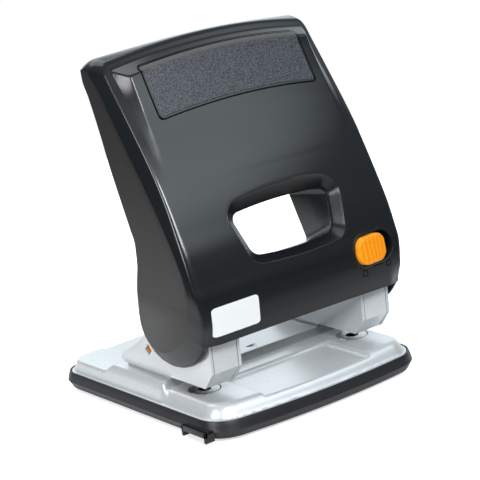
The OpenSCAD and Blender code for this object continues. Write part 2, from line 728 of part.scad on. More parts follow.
module handle_cover() {
    color(gloss_black) on_bed() difference() {
        union() {
            difference() {
                handle_block();
                handle_hollow();
            }
            intersection() {
                handle_block();
                union() {
                    for (x = boss_xs, p = back_boss) along_face(x, p) cylinder(d = 6.4, h = 40);
                    for (x = lever_boss_xs, t = lever_boss) along_face(x, plate_at(t)) cylinder(d = 6, h = 30);
                }
            }
        }
        for (x = boss_xs, p = back_boss) along_face(x, p) translate([0, 0, -1]) cylinder(d = 3, h = 11);
        for (x = lever_boss_xs, t = lever_boss) along_face(x, plate_at(t)) translate([0, 0, -1])
            cylinder(d = 3, h = 6);
        window_cut(-seat_gap, -30, 30);
        at_lock() translate([lock_travel / 2, 0, -8]) linear_extrude(16)
            polygon(round_box(slot_w, slot_h, slot_h / 2 - 0.2));
        pad_layer(seat_gap);
        translate([-60, -60, -40]) cube([120, 100, 52]);
        front_bottom_cut();
    }
}

// The front wall ends above the brackets; the side walls reach further down
face_bottom = 24.6;
module front_bottom_cut() {
    translate([-handle_half_w + shell_t, -60, -20])
        cube([2 * (handle_half_w - shell_t), 75, 20 + face_bottom]);
}

// Back cover, from the top to below the window, notched over the brackets
back_in = 2.2;
back_t = 2;
back_low_b = 60;      // lower edge of the full width
tail_half_w = half_spacing - bracket_w / 2 - 2.8;
module handle_back() {
    half = handle_half_w - shell_t - seat_gap;
    edge = [for (p = back_line) if (p[1] > back_low_b && p[1] < tall_z(127)) p];
    outer = [for (p = edge) [p[0] - back_in, p[1] + 1]];
    inner = [for (i = [len(edge) - 1:-1:0]) [edge[i][0] - back_in - back_t * 1.1, edge[i][1] + 1.4]];
    color(black_plastic) on_bed() difference() {
        union() {
            intersection() {
                bowed(concat([[12.2, 61.5]], outer, inner, [[10.6, 62.4]]), front_half_w);
                translate([-half, -30, 0]) cube([2 * half, 100, hollow_top - side_gap]);
            }
            intersection() {
                bowed([[2.6, 43.2], [14, 67.6], [11.8, 68.4], [0.6, 44.2]], front_half_w);
                translate([-tail_half_w, -30, 42]) cube([2 * tail_half_w, 100, 24]);
            }
        }
        window_way(window_rim - 1.6 - 0.7, -60, 0);
        for (x = boss_xs, p = back_boss) along_face(x, p) translate([0, 0, -20]) cylinder(d = 3.4, h = 30);
        for (x = boss_xs, p = back_boss) along_face(x, p) cylinder(d = 6.6, h = 30);
    }
}

module back_screws() {
    color(dark_steel) on_bed() for (x = boss_xs, p = back_boss) along_face(x, p) {
        translate([0, 0, -3.4]) cylinder(d = 2.9, h = 11);
        translate([0, 0, -5.3]) cylinder(d = 5.6, h = 1.8);
    }
}

// Matt rim that slopes into the window, with the collar that lines it
module window_bezel() {
    collar_inset = window_rim - 1.6;
    color(black_plastic) on_bed() difference() {
        union() {
            intersection() {
                bowed(side_outline, front_half_w);
                window_cut(0, -3.2, 30);
            }
            window_way(collar_inset, -window_depth, -2);
        }
        on_face(0, window_y, window_b, face_turn) skin([
            way_ring(window_rim, -40),
            way_ring(window_rim, -3),
            [for (p = window_outline(1)) [p[0], p[1], 2.4]],
            [for (p = window_outline(-0.5)) [p[0], p[1], 6]]]);
    }
}

// Grip pad let into the top of the panel
pad_line = tall([[7.2, 111.2], [16.7, 128.3], [20, 130.1]]);
pad_low = pad_line[0];
pad_bend = pad_line[1];
pad_high = pad_line[2];
module pad_layer(gap) {
    up = 0.2;
    intersection() {
        bowed([[pad_low[0] - up, pad_low[1] - gap], [pad_bend[0] - up, pad_bend[1] + up + 0.4],
               [pad_high[0] + gap, pad_high[1] + up + 0.3],
               [pad_high[0] + gap, pad_high[1] - pad_t - gap],
               [pad_bend[0] + pad_t + 0.3, pad_bend[1] - pad_t - gap],
               [pad_low[0] + pad_t + gap, pad_low[1] - gap]], panel_edge_w);
        translate([-pad_half_w - gap, -20, 0]) cube([2 * (pad_half_w + gap), 70, 2 * handle_top_b]);
    }
}
module grip_pad() { color(pad_grey) on_bed() pad_layer(0); }

// Steel frame inside the handle: a plate behind the face and four arms in the brackets
arm_t = 1.5;
arm_out = cheek_inner - 0.3;
arm_in = arm_out - arm_t;
module lever_frame() {
    arm = [[-pivot_y - 5.2, pivot_z + 3], [-pivot_y - 5.2, 43], plate_at(0), plate_at(20),
           plate_at(20) + 3 * inward, [1.6, 51], [3.6, 38.5], [3.2, 33.6]];
    color(dark_steel) on_bed() difference() {
        union() {
            for (side = [-1, 1], dir = [-1, 1]) {
                x0 = side * half_spacing + (dir > 0 ? arm_in : -arm_out);
                side_slab(x0, x0 + arm_t) polygon(arm);
                rod_x(x0, x0 + arm_t, -pivot_y, pivot_z, 12);
                rod_x(x0, x0 + arm_t, drive_y, drive_b, 9);
            }
            side_slab(-lever_half_w, lever_half_w) polygon([plate_at(0), plate_at(0) + lever_t * inward,
                plate_at(lever_l) + lever_t * inward, plate_at(lever_l)]);
        }
        for (side = [-1, 1]) {
            rod_x(side * half_spacing - 8, side * half_spacing + 8, -pivot_y, pivot_z,
                  pivot_d + 2 * running_gap);
            rod_x(side * half_spacing - 8, side * half_spacing + 8, drive_y, drive_b, drive_d + 0.02);
        }
        window_cut(0.6, -40, 10);
        for (x = lever_boss_xs, t = lever_boss) along_face(x, plate_at(t)) translate([0, 0, -20])
            cylinder(d = 3.2, h = 40);
    }
}

module drive_pin(side) {
    color(bright_steel) at_punch(side)
        rod_x(-arm_out, arm_out, drive_y, drive_b, drive_d);
}

module lever_screws() {
    color(dark_steel) on_bed() for (x = lever_boss_xs, t = lever_boss) along_face(x, plate_at(t)) {
        translate([0, 0, -lever_t - 0.5]) cylinder(d = 2.9, h = lever_t + 5);
        translate([0, 0, -lever_t - 1.8]) cylinder(d = 5.4, h = 1.8);
    }
}

// Orange button with ribs across its face, and the tongue that goes through the slot
button_proud = 1.6;
retainer_in = -4.4;   // the retainer's front, behind the face
retainer_t = 1.1;
tongue_end = retainer_in - retainer_t - 0.1;
tongue_w = button_w - 6;
tongue_h = button_h - 6;
module lock_slider() {
    color(orange_plastic) on_bed() at_lock() {
        intersection() {
            translate([0, 0, -1.2]) linear_extrude(button_proud + 1.2)
                polygon(round_box(button_w, button_h, button_h / 2 - 0.8));
            translate([0, 0, -30 + button_proud]) rotate([90, 0, 0])
                cylinder(r = 30, h = button_h + 2, center = true);
        }
        for (i = [-2:2]) translate([i * 2.2, 0, button_proud - 0.4])
            cube([0.9, button_h - 2.4, 1.4], center = true);
        translate([-tongue_w / 2, -tongue_h / 2, tongue_end]) cube([tongue_w, tongue_h, -1.1 - tongue_end]);
    }
}

// Plate behind the face that keeps the button in its slot
module slider_retainer() {
    color(dark_steel) on_bed() at_lock() difference() {
        translate([lock_travel / 2 - slot_w / 2 - 1, -slot_h / 2 - 1.4, retainer_in - retainer_t])
            cube([slot_w + 2, slot_h + 2.8, retainer_t]);
        translate([-tongue_w / 2 - side_gap, -tongue_h / 2 - side_gap, -7])
            cube([tongue_w + lock_travel + 2 * side_gap, tongue_h + 2 * side_gap, 7]);
    }
}

// Thin leaf that clicks the button into its two places
module detent_spring() {
    color(bright_steel) on_bed() at_lock()
        translate([lock_travel / 2 - slot_w / 2, -slot_h / 2 - 1, retainer_in - retainer_t - 0.4])
            cube([slot_w, 2.6, 0.4]);
}

// ---------- the sub-parts, one node each ----------

chip_tray();
rubber_feet();
base_plate();
die(-1);  // die_left
die(1);  // die_right
bracket(-1);  // bracket_left
bracket(1);  // bracket_right
front_guard(-1);  // front_guard_left
front_guard(1);  // front_guard_right
punch_guide(-1);  // punch_guide_left
punch_guide(1);  // punch_guide_right
punch(-1);  // punch_left
punch(1);  // punch_right
return_spring(-1);  // return_spring_left
return_spring(1);  // return_spring_right
drive_pin(-1);  // drive_pin_left
drive_pin(1);  // drive_pin_right
pivot_shaft();
pivot_clips();
bracket_rivets();
lock_catch();
lever_frame();
lever_screws();
handle_cover();
handle_back();
back_screws();
window_bezel();
grip_pad();
lock_slider();
slider_retainer();
detent_spring();
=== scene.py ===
import math

import bmesh
import bpy
from mathutils import Matrix, Vector


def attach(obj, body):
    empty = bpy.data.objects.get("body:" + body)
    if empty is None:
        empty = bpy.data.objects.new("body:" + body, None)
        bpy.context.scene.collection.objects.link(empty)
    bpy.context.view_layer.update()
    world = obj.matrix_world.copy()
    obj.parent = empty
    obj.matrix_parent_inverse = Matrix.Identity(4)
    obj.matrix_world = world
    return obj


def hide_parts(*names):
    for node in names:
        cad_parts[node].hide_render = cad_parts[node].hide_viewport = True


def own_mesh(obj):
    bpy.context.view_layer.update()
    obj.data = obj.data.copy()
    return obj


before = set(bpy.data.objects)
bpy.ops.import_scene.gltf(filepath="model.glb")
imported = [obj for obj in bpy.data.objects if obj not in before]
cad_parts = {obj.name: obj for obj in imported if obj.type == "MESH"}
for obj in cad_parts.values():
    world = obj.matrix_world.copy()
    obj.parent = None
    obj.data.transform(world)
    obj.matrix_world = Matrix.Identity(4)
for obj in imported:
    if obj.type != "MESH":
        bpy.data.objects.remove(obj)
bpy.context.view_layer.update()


# ---------- handle cover ----------
# One injection-moulded ABS shell, polished on the front and finely etched on the sides. The front bows
# across and leans back, a panel rises out of it towards the top, and the hubs reach down over the brackets.

def linear(code):
    """An sRGB hex colour as linear RGBA."""
    parts = [int(code[i:i + 2], 16) / 255 for i in (0, 2, 4)]
    return [c / 12.92 if c <= 0.04045 else ((c + 0.055) / 1.055) ** 2.4 for c in parts] + [1]


def add(material, kind, inputs=None, **settings):
    """One new shader node, with its settings and its inputs, which are values or other nodes' sockets."""
    new = material.node_tree.nodes.new("ShaderNode" + kind)
    for name, value in settings.items():
        setattr(new, name, value)
    for name, value in (inputs or {}).items():
        if isinstance(value, bpy.types.NodeSocket):
            material.node_tree.links.new(value, new.inputs[name])
        else:
            new.inputs[name].default_value = value
    return new


def start_material(name):
    """An empty node material, the shader that ends it, and Object coordinates."""
    material = bpy.data.materials.new(name)
    material.use_nodes = True
    nodes = material.node_tree.nodes
    shader = nodes["Principled BSDF"]
    return material, shader, add(material, "TexCoord").outputs["Object"]


def ramp(material, factor, low, high, start=0.0, end=1.0):
    """Two colours mixed by a factor between start and end."""
    share = add(material, "MapRange", {"Value": factor, "From Min": start, "From Max": end}).outputs["Result"]
    return add(material, "Mix", {"Factor": share, "A": low, "B": high}, data_type="RGBA").outputs["Result"]


def joined(material, shader, inputs):
    """Sets or links several inputs of the shader."""
    for name, value in inputs.items():
        if isinstance(value, bpy.types.NodeSocket):
            material.node_tree.links.new(value, shader.inputs[name])
        else:
            shader.inputs[name].default_value = value


def place(x, y, z):
    """Millimetres from the bed at the punch line, as metres in the row frame."""
    return Vector((x, y - 30.9, z + 14.8)) * 0.001


def sheet(bm, across, along, spot):
    """A grid of faces whose corners go to spot(i, j), in millimetres."""
    made = bmesh.ops.create_grid(bm, x_segments=across, y_segments=along, size=0.5)["verts"]
    corners = {}
    for v in made:
        i, j = round((v.co.x + 0.5) * across), round((v.co.y + 0.5) * along)
        v.co = spot(i, j)
        corners[i, j] = v
    return corners


def piece(name, bm, body, material, nodes=(), angle=32, outward=True):
    """Turns a mesh in millimetres into a finished object of that body."""
    if outward:
        bmesh.ops.recalc_face_normals(bm, faces=bm.faces)
    for v in bm.verts:
        v.co = place(*v.co)
    mesh = bpy.data.meshes.new(name)
    bm.to_mesh(mesh)
    bm.free()
    mesh.shade_smooth()
    mesh.set_sharp_from_angle(angle=math.radians(angle))
    mesh.materials.append(material)
    obj = bpy.data.objects.new(name, mesh)
    bpy.context.scene.collection.objects.link(obj)
    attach(obj, body)
    if nodes:
        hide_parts(*nodes)
    return obj


def smooth_table(pairs):
    """A smooth function through (input, output) pairs."""
    xs, ys = [p[0] for p in pairs], [p[1] for p in pairs]
    rise = [(ys[i + 1] - ys[i]) / (xs[i + 1] - xs[i]) for i in range(len(xs) - 1)]
    middle = [0 if a * b <= 0 else 2 * a * b / (a + b) for a, b in zip(rise, rise[1:])]
    slope = [rise[0]] + middle + [rise[-1]]

    def value(x):
        if x <= xs[0]:
            return ys[0] + slope[0] * (x - xs[0])
        if x >= xs[-1]:
            return ys[-1] + slope[-1] * (x - xs[-1])
        i = next(k for k in range(len(xs) - 1) if x <= xs[k + 1])
        h = xs[i + 1] - xs[i]
        t = (x - xs[i]) / h
        return (ys[i] * (1 + 2 * t) * (1 - t) ** 2 + slope[i] * h * t * (1 - t) ** 2
                + ys[i + 1] * t * t * (3 - 2 * t) + slope[i + 1] * h * t * t * (t - 1))
    return value


def step(x, start, end):
    """0 before start, 1 after end, smooth between."""
    t = min(max((x - start) / (end - start), 0), 1)
    return t * t * (3 - 2 * t)


def soft_min(a, b, k):
    """The smaller of two values, rounded where they differ by less than k."""
    h = max(k - abs(a - b), 0) / k
    return min(a, b) - h * h * k / 4


def soft_max(a, b, k):
    """The larger of two values, rounded where they differ by less than k."""
    return -soft_min(-a, -b, k)


def inside(outline, x, y):
    """Whether a point is inside an outline."""
    hit = False
    for (ax, ay), (bx, by) in zip(outline, outline[1:] + outline[:1]):
        if (ay > y) != (by > y) and x < ax + (y - ay) / (by - ay) * (bx - ax):
            hit = not hit
    return hit


side_x = 54.5
front_x = 52.2
face_low, face_turn_z, face_top = 24.6, 130.2, 134.6
face_line = smooth_table([(24.6, -22.2), (31.3, -22.8), (37.2, -23), (43.5, -22.6), (50, -20.7), (60, -17.3),
                          (70, -12.9), (80, -8.2), (90, -3), (100, 3.1), (110, 9.8), (120, 16.6), (126, 20.8),
                          (130, 23.5), (134.6, 26.6), (139, 29.5)])
panel_height = smooth_table([(78, 0), (83, 0), (87, 0.06), (91, 0.2), (95, 0.42), (99, 0.7), (103.3, 1.08),
                             (108, 1.6), (113, 2.15), (117.4, 2.8), (122, 3.6), (126, 4.5), (129, 5.2)])
panel_foot_x, panel_foot_z, panel_edge_x, head_slope = 49.4, 131.75, 45.9, 0.82
side_blend, head_blend, foot_blend = 0.22, 0.35, 0.2
# The upper lines of the front are higher by arch at the middle than at arch_half from it
arch, arch_half = 2.7, 50.8
bow_radius = 290
# In the leaning front: the direction of the bow's depth, and the direction out of the front
bow_y, bow_z, out_y, out_z = 0.906, 0.423, 0.84, 0.54


def panel_rise(x, z):
    """How far the raised panel stands out of the front."""
    flat = panel_height(z)
    edge_x = panel_edge_x - 0.7 * step(z, 95, 125)
    side = (panel_foot_x - abs(x)) / (panel_foot_x - edge_x) * flat
    head = (panel_foot_z - z) * head_slope
    return soft_max(0, soft_min(soft_min(flat, side, side_blend), head, head_blend), foot_blend)


def bow_depth(x):
    """How far the front bows forwards at x."""
    return (front_x ** 2 - x * x) / (2 * bow_radius)


def arch_lift(x, z):
    """How much higher a line of the front is at x than at its ends."""
    return arch * step(z, 60, 104) * (1 - (x / arch_half) ** 2)


def face_point(x, z, out=0.0):
    """A point of the handle's front, at x and at the height z that it has at the edge."""
    bow = bow_depth(x)
    height = z + arch_lift(x, z)
    # The lower corners curl back
    curl = 1.9 * step(abs(x), 44, 52) * step(-z, -34, -25)
    return Vector((x, face_line(height) + curl - bow_y * bow - out_y * out,
                   height + bow_z * bow + out_z * out))


def front_point(x, z, out=0.0):
    """A point of the front with its raised panel."""
    return face_point(x, z, panel_rise(x, z) + out)


def edge_round(z):
    """Radius of the edge between the front and the sides."""
    return 1.6 - 0.6 * step(z, 45, 85)


def edge_out(z):
    """How much fuller the edge is at the height of the lock."""
    return 0.7 * step(z, 34, 44) * (1 - step(z, 56, 84))


window_y, window_z, window_turn = -16.6, 64.6, math.radians(23.5)


# Shapes of the way through: the bezel's rim, its inner edge, the sleeve's back end, and the sleeve's outside
# there. Each is: shift across and up, half widths at top and bottom, top, bottom, radii, and the two bows
window_shapes = [(-1.2, -0.53, 28.8, 25.7, 14.24, -14.16, 8.5, 7.1, 1.86, -0.92),
                 (0.1, -0.7, 24.6, 21.9, 9.35, -9.6, 3.6, 5.05, 1.1, -1.03),
                 (0, 0.6, 22.8, 23.4, 13.2, -9.9, 2, 2.5, 0, 0),
                 (0, 1.0, 27.5, 25.2, 13.0, -11.4, 5, 4, 0.8, 0)]


def window_outline(u):
    """One outline of the way through, between two of its shapes."""
    n = min(int(u), 2)
    dx, dy, top_w, low_w, top, low, rt, rl, bow, sag = (
        a + (b - a) * (u - n) for a, b in zip(window_shapes[n], window_shapes[n + 1]))

    def arc(cx, cy, r, a, b):
        return [(cx + r * math.cos(math.radians(a + (b - a) * i / 10)),
                 cy + r * math.sin(math.radians(a + (b - a) * i / 10))) for i in range(11)]

    def line(a, b, lift):
        return [(a[0] + (b[0] - a[0]) * t, a[1] + (b[1] - a[1]) * t + lift * 4 * t * (1 - t))
                for t in (i / 13 for i in range(1, 13))]
    corners = [arc(top_w - rt, top - rt, rt, -10, 82), arc(rt - top_w, top - rt, rt, 98, 190),
               arc(rl - low_w, low + rl, rl, 197, 268), arc(low_w - rl, low + rl, rl, 272, 343)]
    out = []
    for k, lift in enumerate((bow, 0, sag, 0)):
        out += corners[k] + line(corners[k][-1], corners[(k + 1) % 4][0], lift)
    return [(x + dx, y + dy) for x, y in out]


lock_x = front_x - 17.6
lock_spot = Vector((lock_x, -25.3, 44.2))
lock_turn, lock_lean = math.asin(lock_x / bow_radius), math.radians(8)
lock_across = Vector((math.cos(lock_turn), math.sin(lock_turn), 0))
lock_up = Vector((-math.sin(lock_turn) * math.sin(lock_lean), math.cos(lock_turn) * math.sin(lock_lean),
                  math.cos(lock_lean)))
lock_out = lock_across.cross(lock_up)
slot_w, slot_h, slot_shift = 22.2, 12.3, 1.6


def round_box(w, h, r, n=8):
    """Outline of a box with round corners."""
    out = []
    for cx, cy, a in ((1, 1, 0), (-1, 1, 90), (-1, -1, 180), (1, -1, 270)):
        out += [(cx * (w / 2 - r) + r * math.cos(math.radians(a + 90 * i / n)),
                 cy * (h / 2 - r) + r * math.sin(math.radians(a + 90 * i / n))) for i in range(n + 1)]
    return out


face_across = 186
column_share = smooth_table([(0, 0), (40, 0.5), (71, 0.868), (90, 0.985), (93, 1)])


def face_columns(i, half):
    """Where a column of the front stands, closer together over the raised panel's edges."""
    k = i - face_across / 2
    return math.copysign(half * column_share(abs(k)), k)


# Rows of the front: below the waist, above it, and round the top corners, whose edge has the radius top_round
waist_z, low_rows, rows, corner_rows, top_round = 37.5, 21, 154, 10, 1
face_rows = [face_low + (waist_z - face_low) * k / low_rows for k in range(low_rows)]
face_rows += [waist_z + (face_turn_z - waist_z) * k / rows for k in range(rows + 1)]
corner_x, corner_rx, corner_rz = 48.4, front_x - 48.4, face_top - face_turn_z


def face_row(j):
    """Height and half width of a row of the front, which ends where the round edge starts."""
    if j < len(face_rows):
        return face_rows[j], front_x - edge_round(face_rows[j])
    a = math.pi / 2 * (j - len(face_rows) + 1) / corner_rows
    return (face_turn_z + (corner_rz - top_round) * math.sin(a),
            corner_x + (corner_rx - top_round) * math.cos(a))


bm = bmesh.new()


def face_spot(i, j):
    """A point of the front in column i and row j."""
    z, half = face_row(j)
    return front_point(face_columns(i, half), z)


sheet(bm, face_across, len(face_rows) - 1 + corner_rows, face_spot)


def window_point(x, y, out):
    """A point of the window: x across its plane, y up it, and out of it."""
    return Vector((x, window_y + y * math.sin(window_turn) - out * math.cos(window_turn),
                   window_z + y * math.cos(window_turn) + out * math.sin(window_turn)))


def front_level(x, y):
    """How far out the front is from the window's plane at a point of the window."""
    out = 0.0
    for _ in range(5):
        p = window_point(x, y, out)
        height = p.z - bow_z * bow_depth(x)
        z = height
        for _ in range(3):
            z = height - arch_lift(x, z)
        out += (p.y - face_point(x, z).y) * math.cos(window_turn)
    return out


def near_window(p):
    """Whether a point is close to the window."""
    return abs(p.x) < 34 and 45 < p.z < 82


def window_up(p):
    """Height of a point in the window's plane."""
    return (p.y - window_y) * math.sin(window_turn) + (p.z - window_z) * math.cos(window_turn)


# The openings for the window and the lock are cut so that the rims cover their edges
covered = 0.9
window_hole = window_outline(0.05)
lock_hole = round_box(slot_w + covered, slot_h + covered, slot_h / 2)
cut = []
for face in bm.faces:
    c = face.calc_center_median()
    if near_window(c):
        if inside(window_hole, c.x, window_up(c)):
            cut.append(face)
    elif c.x > 20 and 35 < c.z < 53:
        d = c - lock_spot
        if inside(lock_hole, d.dot(lock_across) - slot_shift, d.dot(lock_up)):
            cut.append(face)
bmesh.ops.delete(bm, geom=cut, context="FACES")
# Where the sides' flat starts behind the band, by the height of the front's edge, and where it ends behind
band_y = smooth_table([(24.6, -13.2), (31.5, -14.9), (37, -15.9), (44, -16.4), (51.4, -15.4), (57.2, -13.6),
                       (67.5, -9.3), (77.8, -4.2), (87.5, 1.6), (104, 13), (119, 21.8), (126.6, 26.6),
                       (130.2, 32.8)])
band_z = smooth_table([(24.6, 31), (31.5, 35), (37, 40), (44, 46), (51.4, 53), (57.2, 57.6), (67.5, 66.5),
                       (77.8, 75.6), (87.5, 85), (104, 102.3), (119, 115.7), (126.6, 123.2), (130.2, 130.6)])
rear_y = smooth_table([(33, 19), (37.5, 18.7), (43.2, 18.1), (47.6, 17.1), (55.5, 15.3), (62.6, 15.1),
                       (69, 17.2), (80.9, 21.6), (93.3, 26), (107.3, 30.2), (121.3, 35), (128.4, 38),
                       (132.1, 38.3)])
rear_low, rear_top = 40.5, 132
# The top's section back from the front's edge, and how much its ends rise at the corners
cap_y = smooth_table([(0, 0), (2, 1.95), (4, 3.95), (7, 6.9), (10, 9.8), (12.5, 12), (15, 13.6)])
cap_z = smooth_table([(0, 0), (1, 0.4), (2, 0.46), (4, 0.36), (7, -0.35), (10, -1.3), (12.5, -2.55),
                      (15, -4.4)])
corner_dome = smooth_table([(0, 0), (2, 0.2), (4, 0.8), (7, 1.8), (10, 2.3), (12.5, 2.4), (15, 2.3)])
cap_steps = (2, 3.5, 5, 6.5, 8, 9.6, 11.2, 13, 15)


def rounding(a, c, b, n=4):
    """Points of a round edge from a to b, whose sharp corner would be c."""
    return [a * (1 - i / n) ** 2 + c * 2 * i / n * (1 - i / n) + b * (i / n) ** 2 for i in range(n + 1)]


def side_section(side, z):
    """From the front round the edge and over the side to its back edge."""
    a, c = front_point(side * (front_x - edge_round(z)), z), face_point(side * (front_x + edge_out(z)), z)
    s = Vector((side * side_x, band_y(z), band_z(z)))
    rz = rear_low + (z - waist_z) / (face_turn_z - waist_z) * (rear_top - rear_low)
    r = Vector((side * side_x, rear_y(rz), rz))
    b = c + (s - c).normalized() * edge_round(z)
    return (rounding(a, c, b) + [b.lerp(s, t) for t in (0.4, 0.75, 0.95)]
            + [s.lerp(r, t) for t in (0.03, 0.2, 0.4, 0.6, 0.8, 1)])


def top_section(x):
    """From the front over the top to its back edge."""
    a, c = front_point(x, face_top - top_round), face_point(x, face_top)
    dome = (x / corner_x) ** 2
    over = [c + Vector((0, cap_y(s), cap_z(s) + corner_dome(s) * dome)) for s in (1, *cap_steps)]
    return rounding(a, c, over[0]) + over[1:]


def corner_section(side, turn):
    """From the front over a top corner, between the side and the top."""
    cos, sin = math.cos(turn), math.sin(turn)
    a = front_point(side * (corner_x + (corner_rx - top_round) * cos),
                    face_turn_z + (corner_rz - top_round) * sin)
    c = face_point(side * (corner_x + corner_rx * cos), face_turn_z + corner_rz * sin)
    rest = [Vector((side * (corner_x + (abs(s.x) - corner_x) * cos), s.y + (t.y - s.y) * sin,
                    s.z + (t.z - s.z) * sin))
            for s, t in zip(side_section(side, face_turn_z), top_section(side * corner_x))]
    return rounding(a, c, rest[4]) + rest[5:]


sections = [side_section(-1, z) for z in face_rows[low_rows:]]
sections += [corner_section(-1, math.pi / 2 * k / corner_rows) for k in range(1, corner_rows)]
sections += [top_section(face_columns(i, corner_x)) for i in range(face_across + 1)]
sections += [corner_section(1, math.pi / 2 * k / corner_rows) for k in range(corner_rows - 1, 0, -1)]
sections += [side_section(1, z) for z in reversed(face_rows[low_rows:])]
upper = sheet(bm, len(sections) - 1, 13, lambda i, j: sections[i][j])

# The hubs: round the bottom, a band slopes from the narrow edge out to the flat of the side. Each entry holds
# y and z of the edge, and y and z of the flat
hub = [((-20.3, 24.6), (-13.2, 31)), ((-17.3, 20.4), (-11, 27.6)), ((-14.4, 17.7), (-9.4, 25.6)),
       ((-10.8, 15.5), (-7.6, 24)), ((-6.6, 13.7), (-5.4, 22.7)), ((-1.9, 12.5), (-1.9, 20.9)),
       ((2.8, 12.2), (2.8, 19.3)), ((7.6, 12.9), (7.2, 18.7)), ((12.9, 14.9), (12.2, 19.7)),
       ((16.9, 18.8), (15.8, 22.6)), ((19.2, 23.5), (17.9, 26.1)), ((19.5, 28), (18.7, 29.4)),
       ((19.1, 33), (18.9, 33.2))]
hub_tables = [smooth_table([(k, p[m][n]) for k, p in enumerate(hub)]) for m in (0, 1) for n in (0, 1)]
hub_steps, hub_round, hub_full = 5, 2.4, 2.1


def low_section(side, k):
    """A section below the waist: down the front edge, then round the hub."""
    if k <= low_rows:
        z = face_rows[low_rows - k]
        return side_section(side, z)[:8]
    t = (k - low_rows) / hub_steps
    cy, cz, sy, sz = (table(t) for table in hub_tables)
    s = Vector((side * side_x, sy, sz))
    c = Vector((side * (front_x + hub_full * step(t, 9, 12)), cy, cz))
    start = front_point(side * (front_x - hub_round), face_low)
    a = start.lerp(Vector((side * (front_x - hub_round), cy, cz)), step(t, 0, 1.2))
    b = c + (s - c).normalized() * min(hub_round, (s - c).length * 0.5)
    return rounding(a, c, b) + [b.lerp(s, u) for u in (0.4, 0.75, 0.95)]


def hub_spot(side, i, j):
    """A point of a low section, whose last column lies on the flat of the side."""
    points = low_section(side, i)
    if j < 8:
        return points[j]
    return Vector((side * side_x, *points[7].yz + (points[7] - points[6]).yz * 0.33))


for side in (-1, 1):
    count = low_rows + hub_steps * (len(hub) - 1)
    lower = sheet(bm, count, 8, lambda i, j: hub_spot(side, i, j))
    column = 0 if side < 0 else len(sections) - 1
    rim = [upper[column, j] for j in range(13, 8, -1)]
    bm.faces.new([lower[i, 8] for i in range(count + 1)] + rim)

bmesh.ops.remove_doubles(bm, verts=bm.verts, dist=0.01)
bmesh.ops.recalc_face_normals(bm, faces=bm.faces)
window_rim = [v for v in bm.verts if v.is_boundary and near_window(v.co) and v.co.y < 0]
shell_wall = 2.0
bmesh.ops.solidify(bm, geom=bm.faces, thickness=shell_wall)
# The stepped edge of the window's opening moves onto its true line
fine_hole = [(ax + (bx - ax) * k / 10, ay + (by - ay) * k / 10)
             for (ax, ay), (bx, by) in zip(window_hole, window_hole[1:] + window_hole[:1]) for k in range(10)]
for v in window_rim:
    up = window_up(v.co)
    x, y = min(fine_hole, key=lambda p: math.hypot(p[0] - v.co.x, p[1] - up))
    v.co = window_point(x, y, front_level(x, y))

gloss, shader, spot = start_material("black_abs_polished")
# Black ABS, IOR 1.53: polished in front, etched to a fine matt grain on the sides
across = add(gloss, "SeparateXYZ", {"Vector": spot}).outputs["X"]
off_middle = add(gloss, "Math", {0: across}, operation="ABSOLUTE").outputs["Value"]
# The etched part starts at the flat of the sides, this far from the middle in metres
flat_from, flat_to = 0.05435, 0.05445
sides = add(gloss, "MapRange",
            {"Value": off_middle, "From Min": flat_from, "From Max": flat_to}).outputs["Result"]
cloud = add(gloss, "TexNoise", {"Vector": spot, "Scale": 38.0, "Detail": 3.0}).outputs["Fac"]
grain = add(gloss, "TexNoise", {"Vector": spot, "Scale": 2600.0, "Detail": 2.0}).outputs["Fac"]
front_rough = add(gloss, "MapRange", {"Value": cloud, "From Min": 0.3, "From Max": 0.7,
                                      "To Min": 0.15, "To Max": 0.19}).outputs["Result"]
rough = add(gloss, "Mix", {"Factor": sides, "A": front_rough, "B": 0.42}).outputs["Result"]
base = ramp(gloss, sides, linear("17191B"), linear("221D1C"))
bump = add(gloss, "Bump", {"Height": grain, "Strength": 0.08, "Distance": 0.00005}).outputs["Normal"]
joined(gloss, shader, {"Base Color": base, "Roughness": rough, "IOR": 1.53, "Normal": bump})
piece("handle_shell", bm, "handle", gloss, ("handle_cover",), outward=False)


# ---------- window bezel ----------
# A separate matt ABS ring clipped into the front: a sloping rim, a small step, and a sleeve
# that lines the way through to the back of the handle.
levels = [front_level(x, y) for x, y in window_outline(0)]
# Each ring: which outline, its depth, and the share of the front's own shape that it follows
rings = [(0.1, -1.6, 1), (0, -0.5, 1), (0, 0.08, 1), (0.02, 0.15, 1), (0.07, 0.14, 1), (0.11, 0.0, 0.98),
         (0.3, -0.5, 0.78), (0.6, -1.25, 0.42), (0.9, -2.0, 0.1), (0.97, -2.2, 0.02), (1.0, -2.4, 0),
         (1.0, -2.9, 0), (0.9, -3.0, 0), (0.9, -3.7, 0), (1.04, -3.8, 0), (1.08, -4.2, 0), (1.3, -9, 0),
         (1.6, -15, 0), (2, -25, 0), (3, -25, 0), (2.95, -12, 0), (0.5, -3.2, 0.2)]


def way_point(k, j):
    """A point of the bezel: k along its outline and j along its section."""
    u, depth, share = rings[j]
    return window_point(*window_outline(u)[k], depth + share * levels[k])


bm = bmesh.new()
count = len(levels)
sheet(bm, count, len(rings), lambda i, j: way_point(i % count, j % len(rings)))
bmesh.ops.remove_doubles(bm, verts=bm.verts, dist=0.004)
matt, shader, spot = start_material("black_abs_etched")
# Black ABS with an etched surface, IOR 1.53
grain = add(matt, "TexNoise", {"Vector": spot, "Scale": 3000.0, "Detail": 2.0}).outputs["Fac"]
bump = add(matt, "Bump", {"Height": grain, "Strength": 0.25, "Distance": 0.00006}).outputs["Normal"]
rough = add(matt, "MapRange", {"Value": grain, "To Min": 0.22, "To Max": 0.3}).outputs["Result"]
joined(matt, shader, {"Base Color": ramp(matt, grain, linear("131316"), linear("1C1C20")),
                      "Roughness": rough, "IOR": 1.53, "Normal": bump})
piece("bezel", bm, "handle", matt, ("window_bezel",), angle=40)


